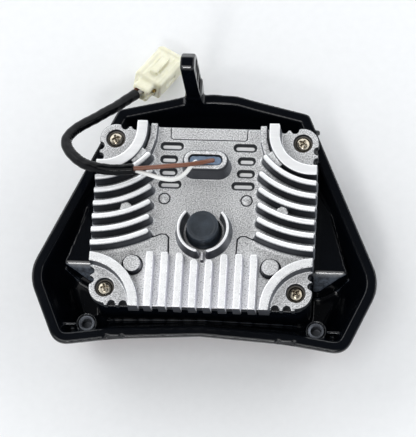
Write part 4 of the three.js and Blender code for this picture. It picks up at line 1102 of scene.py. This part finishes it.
# ---- making the pieces
SOFTENING = 0.15


def finish_node(node, material):
    """Gives a CAD node that is shown as it is a material and softened edges."""
    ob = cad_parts[node]
    ob.data.materials.clear()
    ob.data.materials.append(material)
    soften = ob.modifiers.new("soften", "BEVEL")
    soften.width = SOFTENING * MM
    soften.segments = 2
    soften.limit_method = "ANGLE"
    soften.angle_limit = radians(35)


def show(ob, node, body, material):
    """Puts a piece on its body, in place of its CAD node."""
    ob.data.materials.clear()
    ob.data.materials.append(material)
    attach(ob, body)
    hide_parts(node)
    return ob


aluminium = cast_aluminium()
black_plastic = gloss_black()
plug_rubber = plain("plug_rubber", (0.003, 0.006, 0.010), (0.019, 0.028, 0.04), (0.42, 0.6), 0.7, 0.4)
steel = plain("screw_steel", (0.27, 0.23, 0.17), (0.56, 0.51, 0.42), (0.16, 0.3), 0.5, 0.16, 1.0)
insert_steel = plain("insert_steel", (0.065, 0.07, 0.082), (0.15, 0.16, 0.18), (0.34, 0.48), 0.5, 0.15, 0.6)
potting = plain("potting", (0.14, 0.2, 0.3), (0.22, 0.3, 0.42), (0.3, 0.45), 3.0, 0.3)
brown_pvc = plain("wire_brown", (0.13, 0.045, 0.022), (0.21, 0.075, 0.038), (0.32, 0.45), 0.6, 0.1)
white_pvc = plain("wire_white", (0.72, 0.72, 0.7), (0.84, 0.84, 0.82), (0.32, 0.45), 0.6, 0.1)
black_pvc = plain("wire_black", (0.008, 0.008, 0.009), (0.018, 0.018, 0.02), (0.3, 0.42), 0.6, 0.1)
sleeve_pvc = plain("sleeve_black", (0.0008, 0.001, 0.0015), (0.003, 0.0034, 0.0044), (0.13, 0.2), 1.6, 0.06,
                   specular_ior_level=0.1)
nylon = plain("nylon_cream", (0.66, 0.64, 0.48), (0.8, 0.78, 0.62), (0.35, 0.5), 0.9, 0.1,
              subsurface_weight=0.35, subsurface_radius=(0.004, 0.0035, 0.002))
brass = plain("terminal_brass", (0.55, 0.36, 0.12), (0.75, 0.55, 0.22), (0.25, 0.4), 0.6, 0.1, 1.0)
red = clear_red()
chrome = plain("reflector_chrome", (0.82, 0.82, 0.83), (0.9, 0.9, 0.91), (0.06, 0.12), 3.0, 0.03, 1.0)
seal_rubber = plain("seal_rubber", (0.012, 0.012, 0.013), (0.024, 0.024, 0.026), (0.6, 0.75), 0.5, 0.2)
board_white = plain("board_white", (0.7, 0.71, 0.68), (0.8, 0.81, 0.78), (0.35, 0.45), 0.8, 0.08)
led_body = plain("led_chip", (0.75, 0.62, 0.25), (0.86, 0.78, 0.45), (0.2, 0.3), 0.6, 0.05)
pad_grey = plain("thermal_pad", (0.2, 0.27, 0.36), (0.28, 0.36, 0.45), (0.6, 0.8), 0.5, 0.2)

for make, node, slot, material in (
    (housing, "housing", "abs_black", black_plastic), (heat_sink, "heat_sink", "cast_aluminium", aluminium),
    (potting_fill, "wire_potting", "potting_blue", potting), (lens_shell, "lens", "lens_red", red),
    (mirror_cups, "reflector", "reflector_chrome", chrome),
):
    show(make(), node, "root", material)
for i, cross_angle in enumerate((0.35, 1.0, 0.2, 0.8), 1):
    pan_screw = recessed_screw("pan_screw_%d" % i, SCREWS[i - 1], cross_angle, 1.45, 2.2)
    show(pan_screw, SCREWS[i - 1], "root", steel)
    node = "board_screw_%d" % i
    small_screw = recessed_screw("small_screw_%d" % i, node, cross_angle, 1.1, 1.4, headed_down=True)
    show(small_screw, node, "root", steel)
for side in ("right", "left"):
    insert = "mount_insert_" + side
    show(threaded_insert("threaded_insert_" + side, insert), insert, "root", insert_steel)
show(plug(), "breather_plug", "plug", plug_rubber)

connector = show(connector_shell(), "connector_housing", "root", nylon)
for i in (1, 2, 3):
    finish_node("terminal_%d" % i, brass)

for colour, route, lane, material in (
    ("brown", BROWN, pi / 2, brown_pvc), ("white", WHITE, -pi / 6, white_pvc),
    ("black", BLACK, 7 * pi / 6, black_pvc),
):
    ob, length, start = wire(colour + "_lead", route, lane)
    show(ob, colour + "_wire", "root", material)

sleeve, sleeve_length, sleeve_path = sleeve_tube()
show(sleeve, "wire_sleeve", "root", sleeve_pvc)

for node, material in (
    ("lens_seal", seal_rubber), ("led_board", board_white), ("thermal_pad", pad_grey),
    ("heat_sink_gasket", seal_rubber), *(("led_%d" % i, led_body) for i in range(1, LED_COUNT + 1)),
):
    finish_node(node, material)


# ---- floor and light
FLOOR_REACH = 3.0
FLOOR_Z_M = -0.05 * MM  # just below the lens's face


def stage():
    mesh = bpy.data.meshes.new("floor")
    corners = [(x * FLOOR_REACH, y * FLOOR_REACH, FLOOR_Z_M) for x, y in ((-1, -1), (1, -1), (1, 1), (-1, 1))]
    mesh.from_pydata(corners, [], [(0, 1, 2, 3)])
    floor = linked("floor", mesh)
    paper = Finish("floor_paper")
    fibre = paper.noise(240.0)
    paper.set(base_color=paper.ramp(fibre, (0.3, (0.80, 0.805, 0.81)), (0.7, (0.82, 0.825, 0.83))),
              roughness=0.9)
    mesh.materials.append(paper.material)


def sun(name, towards, energy, angle):
    """An even, soft light from a wide disc far away in the given direction."""
    data = bpy.data.lights.new(name, "SUN")
    data.energy = energy
    data.angle = radians(angle)
    linked(name, data).rotation_euler = Vector(towards).to_track_quat("Z", "Y").to_euler()


def light():
    """A white tent, dark overhead and less bright on the near side, with a soft key and three fills."""
    world = bpy.data.worlds.new("studio")
    bpy.context.scene.world = world
    world.use_nodes = True
    sky = Nodes(world.node_tree)
    background = sky.tree.nodes["Background"]
    direction = sky.node("TexCoord", "Generated", {})
    ring = sky.spread(sky.part(direction, "Z"), 2.2, 0.08, 0.5, 0.74)
    far = sky.spread(sky.part(direction, "Y"), 0.6, 1.0, -0.7, 0.3)
    sky.put(background.inputs["Color"], (0.94, 0.97, 1.0, 1))
    sky.put(background.inputs["Strength"], sky.times(ring, far))
    sun("top_key", (-0.24, -0.2, 0.94), 0.8, 36)
    sun("left_fill", (-0.62, 0.42, 0.66), 0.5, 34)
    sun("near_glint", (-0.093, -0.65, 0.755), 0.42, 9)
    sun("right_fill", (0.66, 0.34, 0.67), 0.3, 34)


stage()
light()
bpy.context.scene.view_settings.view_transform = "Standard"
